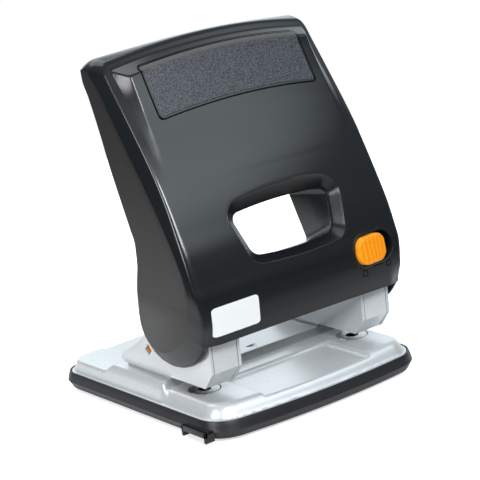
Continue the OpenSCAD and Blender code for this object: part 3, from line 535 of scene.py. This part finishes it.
# ---------- grip pad ----------
# A moulded rubber inlay with a fine sparkle grain, bonded into a seat that runs over the panel's top edge.
# Round it runs a thin near-black strip of painted shadow, which stands for the gap between pad and seat.
pad_half, pad_low, pad_high, pad_proud, pad_side = 39.7, 109.25, 128.5, 0.3, 0.8
pad_low_r, pad_high_r = 1.6, 0.5
pad_across, pad_along = 130, 44


def corner_pull(r, past):
    """How far a round corner of radius r draws the edge in, at past beyond the corner's start."""
    return r - math.sqrt(max(r ** 2 - max(past, 0) ** 2, 0))


def pad_spot(i, j):
    """A point of the pad, whose edge dips into its seat."""
    u, v = 2 * i / pad_across - 1, j / pad_along
    z = pad_low + (pad_high - pad_low) * v
    low_round = corner_pull(pad_low_r, pad_low_r - (z - pad_low))
    high_round = corner_pull(pad_high_r, pad_high_r - (pad_high - z))
    x = u * (pad_half - low_round - high_round)
    edge = min(pad_half - abs(x), z - pad_low, pad_high - z)
    return front_point(x, z, pad_proud - pad_side * (1 - step(edge, -0.05, 0.35)))


bm = bmesh.new()
sheet(bm, pad_across, pad_along, pad_spot)
grip, shader, spot = start_material("grip_rubber")
# Grey rubber with a fine raised grain that glints, and plain above the bend at the top
fleck = add(grip, "TexVoronoi", {"Vector": spot, "Scale": 2300.0}).outputs["Distance"]
cloud = add(grip, "TexNoise", {"Vector": spot, "Scale": 2000.0, "Detail": 1.0}).outputs["Fac"]
bump = add(grip, "Bump", {"Height": fleck, "Strength": 0.7, "Distance": 0.00015}).outputs["Normal"]
grained = ramp(grip, cloud, linear("1A1C20"), linear("585B63"), 0.35, 0.65)
# The bend's height in metres falls with the square of the distance from the middle
bend_fall, bend_from, bend_to = 1.78, 0.1481, 0.1485
parts = add(grip, "SeparateXYZ", {"Vector": spot}).outputs
square = add(grip, "Math", {0: parts["X"], 1: parts["X"]}, operation="MULTIPLY").outputs["Value"]
bend = add(grip, "Math", {0: square, 1: bend_fall, 2: parts["Z"]},
           operation="MULTIPLY_ADD").outputs["Value"]
plain = add(grip, "MapRange", {"Value": bend, "From Min": bend_from, "From Max": bend_to}).outputs["Result"]
base = add(grip, "Mix", {"Factor": plain, "A": grained, "B": linear("4A4645")},
           data_type="RGBA").outputs["Result"]
joined(grip, shader, {"Base Color": base, "Roughness": 0.5, "Normal": bump})
piece("pad", bm, "handle", grip, ("grip_pad",), outward=False)

bm = bmesh.new()
pad_mid, pad_rise = (pad_low + pad_high) / 2, pad_high - pad_low
# The strip of painted shadow that stands for the gap round the pad
seam_gap, seam_r, seam_step, seam_out, seam_edges = 0.5, 1.9, 0.7, 0.36, (0.5, 0.1)
seam = [(x, z + pad_mid) for x, z in round_box(2 * pad_half + seam_gap, pad_rise + seam_gap, seam_r)]
dense = []
for (ax, az), (bx, bz) in zip(seam, seam[1:] + seam[:1]):
    n = max(1, int(math.hypot(bx - ax, bz - az) / seam_step))
    dense += [(ax + (bx - ax) * k / n, az + (bz - az) * k / n) for k in range(n)]


def seam_spot(i, j):
    """A point of the painted shadow strip along the seam: j is 0 at its outer edge and 1 at its inner one."""
    x, z = dense[i % len(dense)]
    grow = seam_edges[j]
    if abs(x) > pad_half - 2:
        x += math.copysign(grow, x)
    if abs(z - pad_mid) > pad_rise / 2 - 2:
        z += math.copysign(grow, z - pad_mid)
    return front_point(x, z, seam_out)


sheet(bm, len(dense), 1, seam_spot)
bmesh.ops.remove_doubles(bm, verts=bm.verts, dist=0.004)
shade_paint, shader, spot = start_material("painted_shade_black")
# Painted shade: a near-black strip that reflects little and stands for the shadow in the gap between the pad
# and its seat. The lock signs take it too
noise = add(shade_paint, "TexNoise", {"Vector": spot, "Scale": 900.0}).outputs["Fac"]
joined(shade_paint, shader, {"Base Color": ramp(shade_paint, noise, linear("040405"), linear("09090A")),
                      "Roughness": 0.7, "Specular IOR Level": 0.1})
# A near-black strip of painted shadow laid on the front round the pad
piece("pad_seam_shadow", bm, "handle", shade_paint, outward=False)


# ---------- lock button and its slot ----------
# An orange acetal button with moulded ribs slides across in an oblong slot, which has a fine raised lip.
def lock_point(x, y, out):
    """A point of the lock: x and y in its plane, and out of it."""
    return lock_spot + lock_across * x + lock_up * y + lock_out * out


bm = bmesh.new()
lip = [(1.15, -0.05), (1.1, 0.06), (0.75, 0.16), (0.25, 0.16), (0.0, 0.02), (0.0, -2.0), (1.15, -2.0)]


def lip_spot(i, j):
    """A point of the lip: i along it and j round its section, which follows the front."""
    grow, out = lip[j % len(lip)]
    points = round_box(slot_w + 2 * grow, slot_h + 2 * grow, slot_h / 2 - 0.2 + grow)
    x, y = points[i % len(points)]
    d = lock_point(x + slot_shift, y, 0)
    z = d.z
    for _ in range(3):
        z += d.z - face_point(d.x, z).z
    level = (d.y - face_point(d.x, z).y) * 0.98
    return lock_point(x + slot_shift, y, out + level)


sheet(bm, len(round_box(slot_w, slot_h, slot_h / 2)), len(lip), lip_spot)
bmesh.ops.remove_doubles(bm, verts=bm.verts, dist=0.004)
piece("lock_slot_lip", bm, "handle", gloss)

bm = bmesh.new()
button_w, button_h, button_proud, button_shift = 16.6, 11.7, 2.2, -0.9
button_r, rib_step, rib_high = 5.0, 2.3, 0.22
button_across, button_up = 92, 26


def button_spot(i, j):
    """A grid over the button, whose outermost lines hang down as its sides."""
    x = button_w / 2 * min(max((i - 1) / (button_across / 2 - 1) - 1, -1), 1)
    past = max(abs(x) - (button_w / 2 - button_r), 0)
    half = button_h / 2 - button_r + math.sqrt(max(button_r ** 2 - past ** 2, 0))
    y = half * min(max((j - 1) / (button_up / 2 - 1) - 1, -1), 1)
    if i in (0, button_across) or j in (0, button_up):
        return lock_point(x + button_shift, y, -1.2)
    edge = min(button_w / 2 - abs(x), half - abs(y))
    rib = rib_high * math.cos(2 * math.pi * x / rib_step) * step(edge, 0.3, 1.3)
    dip = 1.12 * (1 - step(edge, -0.9, 0.9))
    return lock_point(x + button_shift, y, button_proud - 0.1 - x * x / 90 - dip + rib)


sheet(bm, button_across, button_up, button_spot)
bmesh.ops.remove_doubles(bm, verts=bm.verts, dist=0.004)
# The tongue behind the button reaches through the slot
tongue_w, tongue_h, tongue_long, tongue_out = 8, 5, 4.3, -3.3
for v in bmesh.ops.create_cube(bm, size=1)["verts"]:
    v.co = lock_point(v.co.x * tongue_w, v.co.y * tongue_h, tongue_out + v.co.z * tongue_long)
orange, shader, spot = start_material("orange_acetal")
# Orange acetal, IOR 1.48, slightly translucent
noise = add(orange, "TexNoise", {"Vector": spot, "Scale": 700.0}).outputs["Fac"]
joined(orange, shader, {"Base Color": ramp(orange, noise, linear("FF9200"), linear("FFA010")),
                        "Roughness": 0.38, "IOR": 1.48, "Subsurface Weight": 0.15,
                        "Subsurface Radius": (0.002, 0.001, 0.0004), "Subsurface Scale": 0.5})
piece("lock_button", bm, "lock_slider", orange, ("lock_slider",), angle=50)


# ---------- lock signs ----------
# Fine moulded lines under the slot: an open padlock, a stroke and a closed padlock.
ridge = (0.08, 0.2, 0.08)


def moulded_line(bm, points, wide=0.34):
    """A low ridge along points of the front."""
    for (ax, az), (bx, bz) in zip(points, points[1:]):
        long = math.hypot(bx - ax, bz - az)
        nx, nz = (az - bz) / long * wide / 2, (bx - ax) / long * wide / 2
        n = max(1, round(long / 0.7))
        sheet(bm, n, 2, lambda i, j: front_point(ax + (bx - ax) * i / n + nx * (j - 1),
                                                 az + (bz - az) * i / n + nz * (j - 1), ridge[j]))


def padlock(bm, x, z, shackle):
    """A padlock sign, whose shackle hangs open over the side or stands over the body."""
    body_half, body_high, leg, round_x, round_z = 1.3, 2.3, 3.6, 0.85, 0.9
    moulded_line(bm, [(x - body_half, z), (x + body_half, z), (x + body_half, z + body_high),
                      (x - body_half, z + body_high), (x - body_half, z)])
    turns = [math.radians(a) for a in range(0, 181, 30)]
    moulded_line(bm, [(x + shackle + round_x * math.cos(a), z + leg + round_z * math.sin(a)) for a in turns])
    moulded_line(bm, [(x + shackle + round_x, z + body_high), (x + shackle + round_x, z + leg)])
    if shackle == 0:
        moulded_line(bm, [(x - round_x, z + body_high), (x - round_x, z + leg)])


bm = bmesh.new()
padlock(bm, 29.6, 32.2, -1.9)
moulded_line(bm, [(34, 35.4), (40.6, 35.4)], 0.45)
padlock(bm, 43.8, 33.6, 0)
# The signs take the near-black painted shade material, so they show darker than the handle's own plastic
piece("lock_signs", bm, "handle", shade_paint, outward=False)


# ---------- blank label ----------
# A white vinyl label with round corners, stuck on the front above its lower edge at the left. It is left
# blank.
label_x, label_z, label_w, label_h, label_r = -37.6, 34.1, 21.7, 11.9, 1.4
label_out, label_thick, label_across, label_up = 0.07, 0.06, 40, 24


def label_spot(i, j):
    """A point of the label, which narrows at its round corners."""
    u, v = i / label_across - 0.5, j / label_up - 0.5
    y = v * label_h
    pull = corner_pull(label_r, abs(y) - (label_h / 2 - label_r))
    return front_point(label_x + u * 2 * (label_w / 2 - pull), label_z + y, label_out)


bm = bmesh.new()
sheet(bm, label_across, label_up, label_spot)
bmesh.ops.solidify(bm, geom=bm.faces, thickness=label_thick)
white, shader, spot = start_material("label_vinyl")
# Glossy white vinyl
noise = add(white, "TexNoise", {"Vector": spot, "Scale": 500.0}).outputs["Fac"]
joined(white, shader, {"Base Color": ramp(white, noise, linear("E9EAEB"), linear("F1F2F2")),
                       "Roughness": 0.32})
piece("label", bm, "handle", white)


# ---------- chip tray ----------
# A shallow polypropylene tray that snaps under the steel plate, with a pull tab on its left side.
base_bow = 4.3


def base_corners(w, f, b, rf, rr):
    """Centres and angles of the outline's round parts: straight sides, and bowed front and back."""
    big = (w * w + base_bow * base_bow) / (2 * base_bow)
    fy, by = f + big, b - big
    cf = (w - rf, fy - math.sqrt((big - rf) ** 2 - (w - rf) ** 2))
    cr = (w - rr, by + math.sqrt((big - rr) ** 2 - (w - rr) ** 2))
    return big, fy, by, cf, cr, math.atan2(cf[1] - fy, cf[0]), math.atan2(cr[1] - by, cr[0])


def base_outline(w, f, b, rf, rr, n=18):
    """The whole outline, from the middle of the front round by the right."""
    big, fy, by, cf, cr, af, ar = base_corners(w, f, b, rf, rr)

    def arc(cx, cy, r, a0, a1, m):
        return [(cx + r * math.cos(a0 + (a1 - a0) * i / m), cy + r * math.sin(a0 + (a1 - a0) * i / m))
                for i in range(m + 1)]
    right = arc(0, fy, big, -math.pi / 2, af, n)[:-1] + arc(*cf, rf, af, 0, 14) + arc(*cr, rr, 0, ar, 12)
    right += arc(0, by, big, ar, math.pi / 2, n)[1:]
    return right + [(-x, y) for x, y in right[-2:0:-1]]


tray_w, tray_front, tray_back, tray_front_r, tray_back_r = 55.8, -31.4, 92.7, 14.5, 10.5


def tray_outline(inset):
    """The tray's outline, drawn in by inset."""
    return base_outline(tray_w - inset, tray_front + inset, tray_back - inset, tray_front_r - inset,
                        tray_back_r - inset)


bm = bmesh.new()
# The tray's section from its floor over the rim to its underside: how far in, and the height
tray_rings = [(6.0, -11.6), (4.6, -11.2), (4.4, -10.4), (4.4, -6.9), (1.85, -6.9), (1.8, -5.7), (1.7, -5.55),
              (1.4, -5.5), (1.2, -5.55), (1.08, -5.8), (0.55, -7.6), (0.12, -9.2), (0.02, -9.5), (0.1, -9.75),
              (0.45, -10.3), (1.4, -11.9), (1.75, -12.6), (2.1, -13.05), (2.7, -13.3), (6, -13.3)]
loops = [tray_outline(inset) for inset, _ in tray_rings]
count = len(loops[0])
grid = sheet(bm, count, len(tray_rings) - 1, lambda i, j: Vector((*loops[j][i % count], tray_rings[j][1])))
for j in (0, len(tray_rings) - 1):
    bm.faces.new([grid[i, j] for i in range(count)])
bmesh.ops.remove_doubles(bm, verts=bm.verts, dist=0.004)


def merge(part, bm):
    """Adds a part to a mesh."""
    mesh = bpy.data.meshes.new("part")
    part.to_mesh(mesh)
    part.free()
    bm.from_mesh(mesh)
    bpy.data.meshes.remove(mesh)


def box(bm, x0, x1, y0, y1, z0, z1, bevel=0.2):
    """A block with slightly rounded edges, in millimetres."""
    part = bmesh.new()
    for v in bmesh.ops.create_cube(part, size=1)["verts"]:
        v.co = Vector(((x0 + x1) / 2 + v.co.x * (x1 - x0), (y0 + y1) / 2 + v.co.y * (y1 - y0),
                       (z0 + z1) / 2 + v.co.z * (z1 - z0)))
    bmesh.ops.bevel(part, geom=part.edges, offset=bevel, segments=2, profile=0.5, affect="EDGES",
                    material=-1)
    merge(part, bm)


# The pull tab: an upright wall, a top and two ribs at its ends
tab_x, tab_root, tab_front, tab_back, tab_top, tab_wall = -tray_w - 1.8, -53, -22.2, -5.8, -8.7, 1.3
box(bm, tab_x, tab_x + tab_wall, tab_front, tab_back, tab_top - 2.5, tab_top)
box(bm, tab_x + 0.2, tab_root, tab_front, tab_back, tab_top - 1, tab_top)
for y in (tab_front, tab_back - tab_wall):
    box(bm, tab_x, tab_root, y, y + tab_wall, -13.3, tab_top - 0.05)
poly, shader, spot = start_material("black_polypropylene")
# Black polypropylene with a satin moulded finish, IOR 1.49
grain = add(poly, "TexNoise", {"Vector": spot, "Scale": 2400.0, "Detail": 2.0}).outputs["Fac"]
cloud = add(poly, "TexNoise", {"Vector": spot, "Scale": 60.0}).outputs["Fac"]
bump = add(poly, "Bump", {"Height": grain, "Strength": 0.15, "Distance": 0.00005}).outputs["Normal"]
rough = add(poly, "MapRange", {"Value": cloud, "To Min": 0.34, "To Max": 0.44}).outputs["Result"]
joined(poly, shader, {"Base Color": ramp(poly, grain, linear("141418"), linear("1D1C21")),
                      "Roughness": rough, "IOR": 1.49, "Normal": bump})
piece("tray", bm, "tray", poly, ("chip_tray",))


# ---------- base plate ----------
# One deep-drawn sheet of steel, sprayed with silver paint: a flat flange, soft-cornered walls, a bed with a
# shallow dish in front, a riser that stops the paper, a platform for the brackets and a lower shelf behind.
flange = (53.7, -29.3, 90.6, 12.7, 8.7)
big, fy, by, cf, cr, af, ar = base_corners(*flange)


def plate_depth(x, y):
    """Distance inwards from the flange's edge."""
    x = abs(x)
    for (cx, cy), r, a0, a1 in ((cf, flange[3], af, 0), (cr, flange[4], 0, ar)):
        if x > cx * 0.9:
            a = math.atan2(y - cy, x - cx)
            if a0 <= a <= a1:
                return r - math.hypot(x - cx, y - cy)
    return min(flange[0] - x, big - math.hypot(x, y - fy), big - math.hypot(x, y - by))


# Height of the walls by the distance inwards: round the bed, and the steeper ones beside the platform
bed_wall = smooth_table([(0, -5.7), (0.8, -5.68), (1.3, -5.1), (2, -3.7), (3, -2.0), (4.2, -0.6), (5.4, 0.15),
                         (7.2, 1.2), (10, 4)])
high_wall = smooth_table([(0, -5.7), (0.6, -5.68), (1.0, -4.9), (1.5, -2.9), (2.2, 0.1), (2.9, 2.2),
                          (3.6, 4.0), (6, 8)])
flange_z, platform_z, shelf_drop = -5.7, 3, 0.5
riser, shelf_step = (12.4, 14.8), (50.2, 57.6)
dish_x, dish_y, dish_edge, dish_deep = 28.9, 3.3, 1.1, 1.5
hollow_x, hollow_y, hollow_deep = 31, (69, 73.5), 1.6
arrow, arrow_deep = [(0, 15.4), (2.6, 20.4), (-2.6, 20.4)], 0.5


def bed_height(x, y):
    """Height of the plate's upper side."""
    ax = abs(x)
    behind = step(y, *shelf_step)
    level = platform_z * step(y, *riser) * (1 - behind) - shelf_drop * behind
    level -= dish_deep * step(dish_x - ax, 0, dish_edge) * step(dish_y - y, 0, dish_edge)
    level -= hollow_deep * step(hollow_x + (y - hollow_y[0]) * 0.25 - ax, -1, 2.5) * step(y, *hollow_y)
    if inside(arrow, x, y):
        level -= arrow_deep
    d = plate_depth(x, y)
    narrow = step(y, 10, 15.5) * (1 - step(y, 74, 86))
    wall = bed_wall(d) * (1 - narrow) + high_wall(d) * narrow
    return max(soft_min(level, wall, 0.7 - 0.3 * narrow), flange_z)


bm = bmesh.new()
nx, ny = 204, 238
y0, y1 = flange[1:3]
punch_x, die_hole, plate_thick = 40, 6.95, 1.1
# The columns stand closer together over the walls at both sides
plate_share = smooth_table([(0, 0), (62, 0.76), (70, 0.83), (102, 1)])
sheet(bm, nx, ny, lambda i, j: Vector((math.copysign(flange[0] * plate_share(abs(i - nx / 2)), i - nx / 2),
                                       y0 + (y1 - y0) * j / ny, 0)))
drop = []
for face in bm.faces:
    c = face.calc_center_median()
    if plate_depth(c.x, c.y) < -0.1 or math.hypot(abs(c.x) - punch_x, c.y) < die_hole - 0.05:
        drop.append(face)
bmesh.ops.delete(bm, geom=drop, context="FACES")
# Corners of faces at the die holes and at the outer edge move onto the true line
for v in bm.verts:
    x, y = v.co.x, v.co.y
    for s in (-1, 1):
        r = math.hypot(x - s * punch_x, y)
        if r < 7.5 and v.is_boundary:
            x, y = s * punch_x + (x - s * punch_x) * die_hole / r, y * die_hole / r
    d = plate_depth(x, y)
    near = 0.9 if abs(x) > 30 else 0.6
    if d < 0 or (v.is_boundary and abs(d) < near):
        for _ in range(4):
            d = plate_depth(x, y)
            gx = (plate_depth(x + 0.05, y) - plate_depth(x - 0.05, y)) / 0.1
            gy = (plate_depth(x, y + 0.05) - plate_depth(x, y - 0.05)) / 0.1
            g = max(gx * gx + gy * gy, 0.2)
            x, y = x - gx * d / g, y - gy * d / g
    v.co = Vector((x, y, bed_height(x, y)))
bmesh.ops.recalc_face_normals(bm, faces=bm.faces)
if sum(f.normal.z for f in bm.faces) < 0:
    bmesh.ops.reverse_faces(bm, faces=bm.faces)
bmesh.ops.solidify(bm, geom=bm.faces, thickness=plate_thick)
silver, shader, spot = start_material("silver_spray")
# Silver metallic paint: fine aluminium flakes under a satin binder
flake = add(silver, "TexVoronoi", {"Vector": spot, "Scale": 5200.0}).outputs["Color"]
cloud = add(silver, "TexNoise", {"Vector": spot, "Scale": 45.0, "Detail": 3.0}).outputs["Fac"]
sparkle = add(silver, "SeparateColor", {"Color": flake}).outputs["Red"]
bump = add(silver, "Bump", {"Height": sparkle, "Strength": 0.1, "Distance": 0.00004}).outputs["Normal"]
rough = add(silver, "MapRange", {"Value": cloud, "To Min": 0.25, "To Max": 0.32}).outputs["Result"]
joined(silver, shader, {"Base Color": ramp(silver, sparkle, linear("CBCDD0"), linear("DCDEE0")),
                        "Metallic": 0.45, "Roughness": rough, "Normal": bump})
piece("plate", bm, "punch_unit", silver, ("base_plate",), outward=False)


# ---------- brackets and front guards ----------
# Each punch stands in a bracket of folded steel sheet with two cheeks. A separate folded plate closes the
# cheeks in front and bends back under the pivot. All are sprayed with the same silver paint.
def slab(bm, outlines, x0, x1, bevel=0.22):
    """A plate of sheet across X: side outlines of (y, z) points, the first round the others."""
    part = bmesh.new()
    edges = []
    for outline in outlines:
        corners = [part.verts.new((x0, y, z)) for y, z in outline]
        edges += [part.edges.new(pair) for pair in zip(corners, corners[1:] + corners[:1])]
    bmesh.ops.triangle_fill(part, use_beauty=True, edges=edges, normal=(1, 0, 0))
    made = bmesh.ops.extrude_face_region(part, geom=part.faces[:])["geom"]
    lifted = [g for g in made if isinstance(g, bmesh.types.BMVert)]
    bmesh.ops.translate(part, vec=(x1 - x0, 0, 0), verts=lifted)
    bmesh.ops.recalc_face_normals(part, faces=part.faces)
    sharp = [e for e in part.edges if e.calc_face_angle(0) > 0.35]
    bmesh.ops.bevel(part, geom=sharp, offset=bevel, segments=2, profile=0.5, affect="EDGES", material=-1)
    merge(part, bm)


def arc_points(cy, cz, r, a0, a1, n):
    """Points of an arc from the angle a0 to a1, in degrees."""
    turns = [math.radians(a0 + (a1 - a0) * i / n) for i in range(n + 1)]
    return [(cy + r * math.cos(a), cz + r * math.sin(a)) for a in turns]


cheek = ([(-11.8, 4.6), (45.5, 4.6)] + arc_points(45.3, 7.2, 2.6, -70, 40, 6)
         + [(42.2, 11), (35.4, 14.6), (28.3, 19.4), (18, 26.5), (8, 32.6), (1, 36)]
         + arc_points(-9.5, 33, 9.2, 40, 140, 14) + [(-17.6, 36), (-17.6, 11.6)])
peep = [(26.3, 11.5), (28.7, 13.9), (26.3, 16.3), (23.9, 13.9)]
guard = [(-17.6, 11.7), (-17.6, 35.8), (-16.2, 35.8), (-16.2, 12.3), (-10.4, 5.6), (-11.0, 4.5), (-11.5, 4.6)]
cheek_starts, cheek_thick, foot_half, guard_half = (-7.7, 6.3), 1.4, 6.4, 6.0
for side, name in ((-1, "left"), (1, "right")):
    middle = side * punch_x
    bm = bmesh.new()
    for x in cheek_starts:
        slab(bm, [cheek, peep] if x < 0 else [cheek], middle + x, middle + x + cheek_thick)
    box(bm, middle - foot_half, middle + foot_half, 14.8, 45.9, 3.0, 4.5, 0.15)
    piece("bracket_sheet_" + name, bm, "punch_unit", silver, ("bracket_" + name,))
    bm = bmesh.new()
    slab(bm, [guard], middle - guard_half, middle + guard_half, 0.3)
    piece("guard_sheet_" + name, bm, "punch_unit", silver, ("front_guard_" + name,))


# ---------- inner and hidden pieces ----------
# Bought-in steel parts and small mouldings, shown as they are drawn: ground or blackened steel, and rubber
# feet.
steel, shader, spot = start_material("ground_steel")
# Hardened steel, ground bright: fine turning marks
along = add(steel, "Mapping", {"Vector": spot, "Scale": (1.0, 1.0, 14.0)}).outputs["Vector"]
streak = add(steel, "TexNoise", {"Vector": along, "Scale": 300.0}).outputs["Fac"]
rough = add(steel, "MapRange", {"Value": streak, "To Min": 0.2, "To Max": 0.34}).outputs["Result"]
joined(steel, shader, {"Base Color": ramp(steel, streak, linear("A9AAAC"), linear("BDBEC0")),
                       "Metallic": 1.0, "Roughness": rough})
black, shader, spot = start_material("blackened_steel")
# Steel with a black oxide finish
cloud = add(black, "TexNoise", {"Vector": spot, "Scale": 420.0, "Detail": 3.0}).outputs["Fac"]
rough = add(black, "MapRange", {"Value": cloud, "To Min": 0.4, "To Max": 0.55}).outputs["Result"]
joined(black, shader, {"Base Color": ramp(black, cloud, linear("1D1E20"), linear("2C2D30")),
                       "Metallic": 0.7, "Roughness": rough})
rubber, shader, spot = start_material("foot_rubber")
# Black rubber
cloud = add(rubber, "TexNoise", {"Vector": spot, "Scale": 800.0}).outputs["Fac"]
joined(rubber, shader, {"Base Color": ramp(rubber, cloud, linear("151515"), linear("1E1E1E")),
                        "Roughness": 0.75})
looks = {
    steel: ("die_left", "die_right", "punch_left", "punch_right", "return_spring_left", "return_spring_right",
            "drive_pin_left", "drive_pin_right", "pivot_shaft", "bracket_rivets", "detent_spring"),
    black: ("punch_guide_left", "punch_guide_right", "pivot_clips", "lever_frame", "lever_screws",
            "back_screws", "slider_retainer"),
    rubber: ("rubber_feet",),
    orange: ("lock_catch",),
    matt: ("handle_back",),
}
for material, names in looks.items():
    for name in names:
        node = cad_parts[name]
        node.data.materials.clear()
        node.data.materials.append(material)
# The springs round the punches stand on the guides; each gets a mesh of its own
for side in ("left", "right"):
    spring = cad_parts["return_spring_" + side]
    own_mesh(spring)


# ---------- floor, light and camera ----------
# A white table that keeps the shadow, three softboxes, a room with a white wall behind and a long belt of
# light in front, and the camera.
world = bpy.data.worlds.new("studio")
bpy.context.scene.world = world
world.use_nodes = True
way = add(world, "TexCoord").outputs["Generated"]
height = add(world, "SeparateXYZ", {"Vector": way}).outputs["Z"]
sky = add(world, "MapRange",
          {"Value": height, "From Max": 0.9, "To Min": 0.1, "To Max": 0.45}).outputs["Result"]
# A white wall stands behind the object, and a long belt of light reaches from the front round to the right
to_wall, to_belt = (0.57, 0.82, 0), (0.15, -0.99, 0)
backwards = add(world, "VectorMath", {0: way, 1: to_wall}, operation="DOT_PRODUCT").outputs["Value"]
wall = add(world, "MapRange",
           {"Value": backwards, "From Min": 0.45, "From Max": 0.95, "To Max": 1.5}).outputs["Result"]
forwards = add(world, "VectorMath", {0: way, 1: to_belt}, operation="DOT_PRODUCT").outputs["Value"]
reach = add(world, "MapRange",
            {"Value": forwards, "From Min": 0.1, "From Max": 0.86, "To Max": 3.15}).outputs["Result"]
rise = add(world, "MapRange", {"Value": height, "From Min": 0.38, "From Max": 0.57},
           interpolation_type="SMOOTHSTEP").outputs["Result"]
fall = add(world, "MapRange", {"Value": height, "From Min": 0.88, "From Max": 0.62},
           interpolation_type="SMOOTHSTEP").outputs["Result"]
belt = add(world, "Math", {0: rise, 1: fall}, operation="MULTIPLY").outputs["Value"]
long_box = add(world, "Math", {0: reach, 1: belt}, operation="MULTIPLY").outputs["Value"]
strength = add(world, "Math", {0: sky, 1: wall}, operation="MAXIMUM").outputs["Value"]
strength = add(world, "Math", {0: strength, 1: long_box}, operation="MAXIMUM").outputs["Value"]
light = add(world, "Background", {"Color": (0.86, 0.96, 1.0, 1), "Strength": strength}).outputs["Background"]
seen = add(world, "Background", {"Color": (1, 1, 1, 1)}).outputs["Background"]
camera_ray = add(world, "LightPath").outputs["Is Camera Ray"]
mix = add(world, "MixShader", {0: camera_ray, 1: light, 2: seen}).outputs["Shader"]
world.node_tree.links.new(mix, world.node_tree.nodes["World Output"].inputs["Surface"])

bm = bmesh.new()
bmesh.ops.create_circle(bm, cap_ends=True, segments=96, radius=0.5)
mesh = bpy.data.meshes.new("floor")
bm.to_mesh(mesh)
bm.free()
floor = bpy.data.objects.new("floor", mesh)
bpy.context.scene.collection.objects.link(floor)
paper, shader, spot = start_material("white_table")
# White table, plain white to the camera apart from the object's shadow. In reflections it darkens outwards
noise = add(paper, "TexNoise", {"Vector": spot, "Scale": 3.0}).outputs["Fac"]
seen = add(paper, "LightPath").outputs["Is Camera Ray"]
glow = add(paper, "Math", {0: seen, 1: 0.62}, operation="MULTIPLY").outputs["Value"]
white_top = ramp(paper, noise, linear("F4F4F4"), linear("F8F8F8"))
away = add(paper, "VectorMath", {0: spot, 1: (0.02, 0.14, 0)}, operation="DISTANCE").outputs["Value"]
dim_top = ramp(paper, away, linear("F4F4F4"), linear("4A4A4A"), 0.2, 0.36)
top = add(paper, "Mix", {"Factor": seen, "A": dim_top, "B": white_top}, data_type="RGBA").outputs["Result"]
joined(paper, shader, {"Base Color": top, "Roughness": 0.9,
                       "Emission Color": (1, 1, 1, 1), "Emission Strength": glow})
floor.data.materials.append(paper)


def softbox(name, spot_at, aim, width, height, power):
    """A rectangular lamp that faces a point, with sizes in metres and power in watts."""
    data = bpy.data.lights.new(name, "AREA")
    data.shape = "RECTANGLE"
    data.size, data.size_y, data.energy = width, height, power
    lamp = bpy.data.objects.new(name, data)
    lamp.location = spot_at
    lamp.rotation_euler = (Vector(aim) - Vector(spot_at)).to_track_quat("-Z", "Y").to_euler()
    bpy.context.scene.collection.objects.link(lamp)


softbox("top_box", (-0.1, 0.42, 0.85), (0, 0, 0.05), 0.8, 0.8, 3.5)
softbox("front_box", (-0.31, -0.94, 0.745), (0, 0, 0.06), 0.46, 0.26, 7.5)
softbox("left_box", (-0.92, -0.21, 0.4), (0, 0, 0.06), 0.26, 0.46, 3.7)

azimuth, elevation, roll, distance = math.radians(35.80), math.radians(15.03), math.radians(6.75), 0.730
forward = Vector((math.sin(azimuth) * math.cos(elevation), math.cos(azimuth) * math.cos(elevation),
                  -math.sin(elevation)))
level = Vector((math.cos(azimuth), -math.sin(azimuth), 0))
upright = level.cross(forward)
right = level * math.cos(roll) - upright * math.sin(roll)
up = level * math.sin(roll) + upright * math.cos(roll)
data = bpy.data.cameras.new("camera")
data.lens, data.sensor_width = 134.1, 36
camera = bpy.data.objects.new("camera", data)
bpy.context.scene.collection.objects.link(camera)
turned = Matrix((right, up, -forward)).transposed().to_4x4()
turned.translation = place(-13.5, 0, 56.4) - forward * distance
camera.matrix_world = turned
bpy.context.scene.camera = camera
bpy.context.scene.view_settings.view_transform = "Standard"
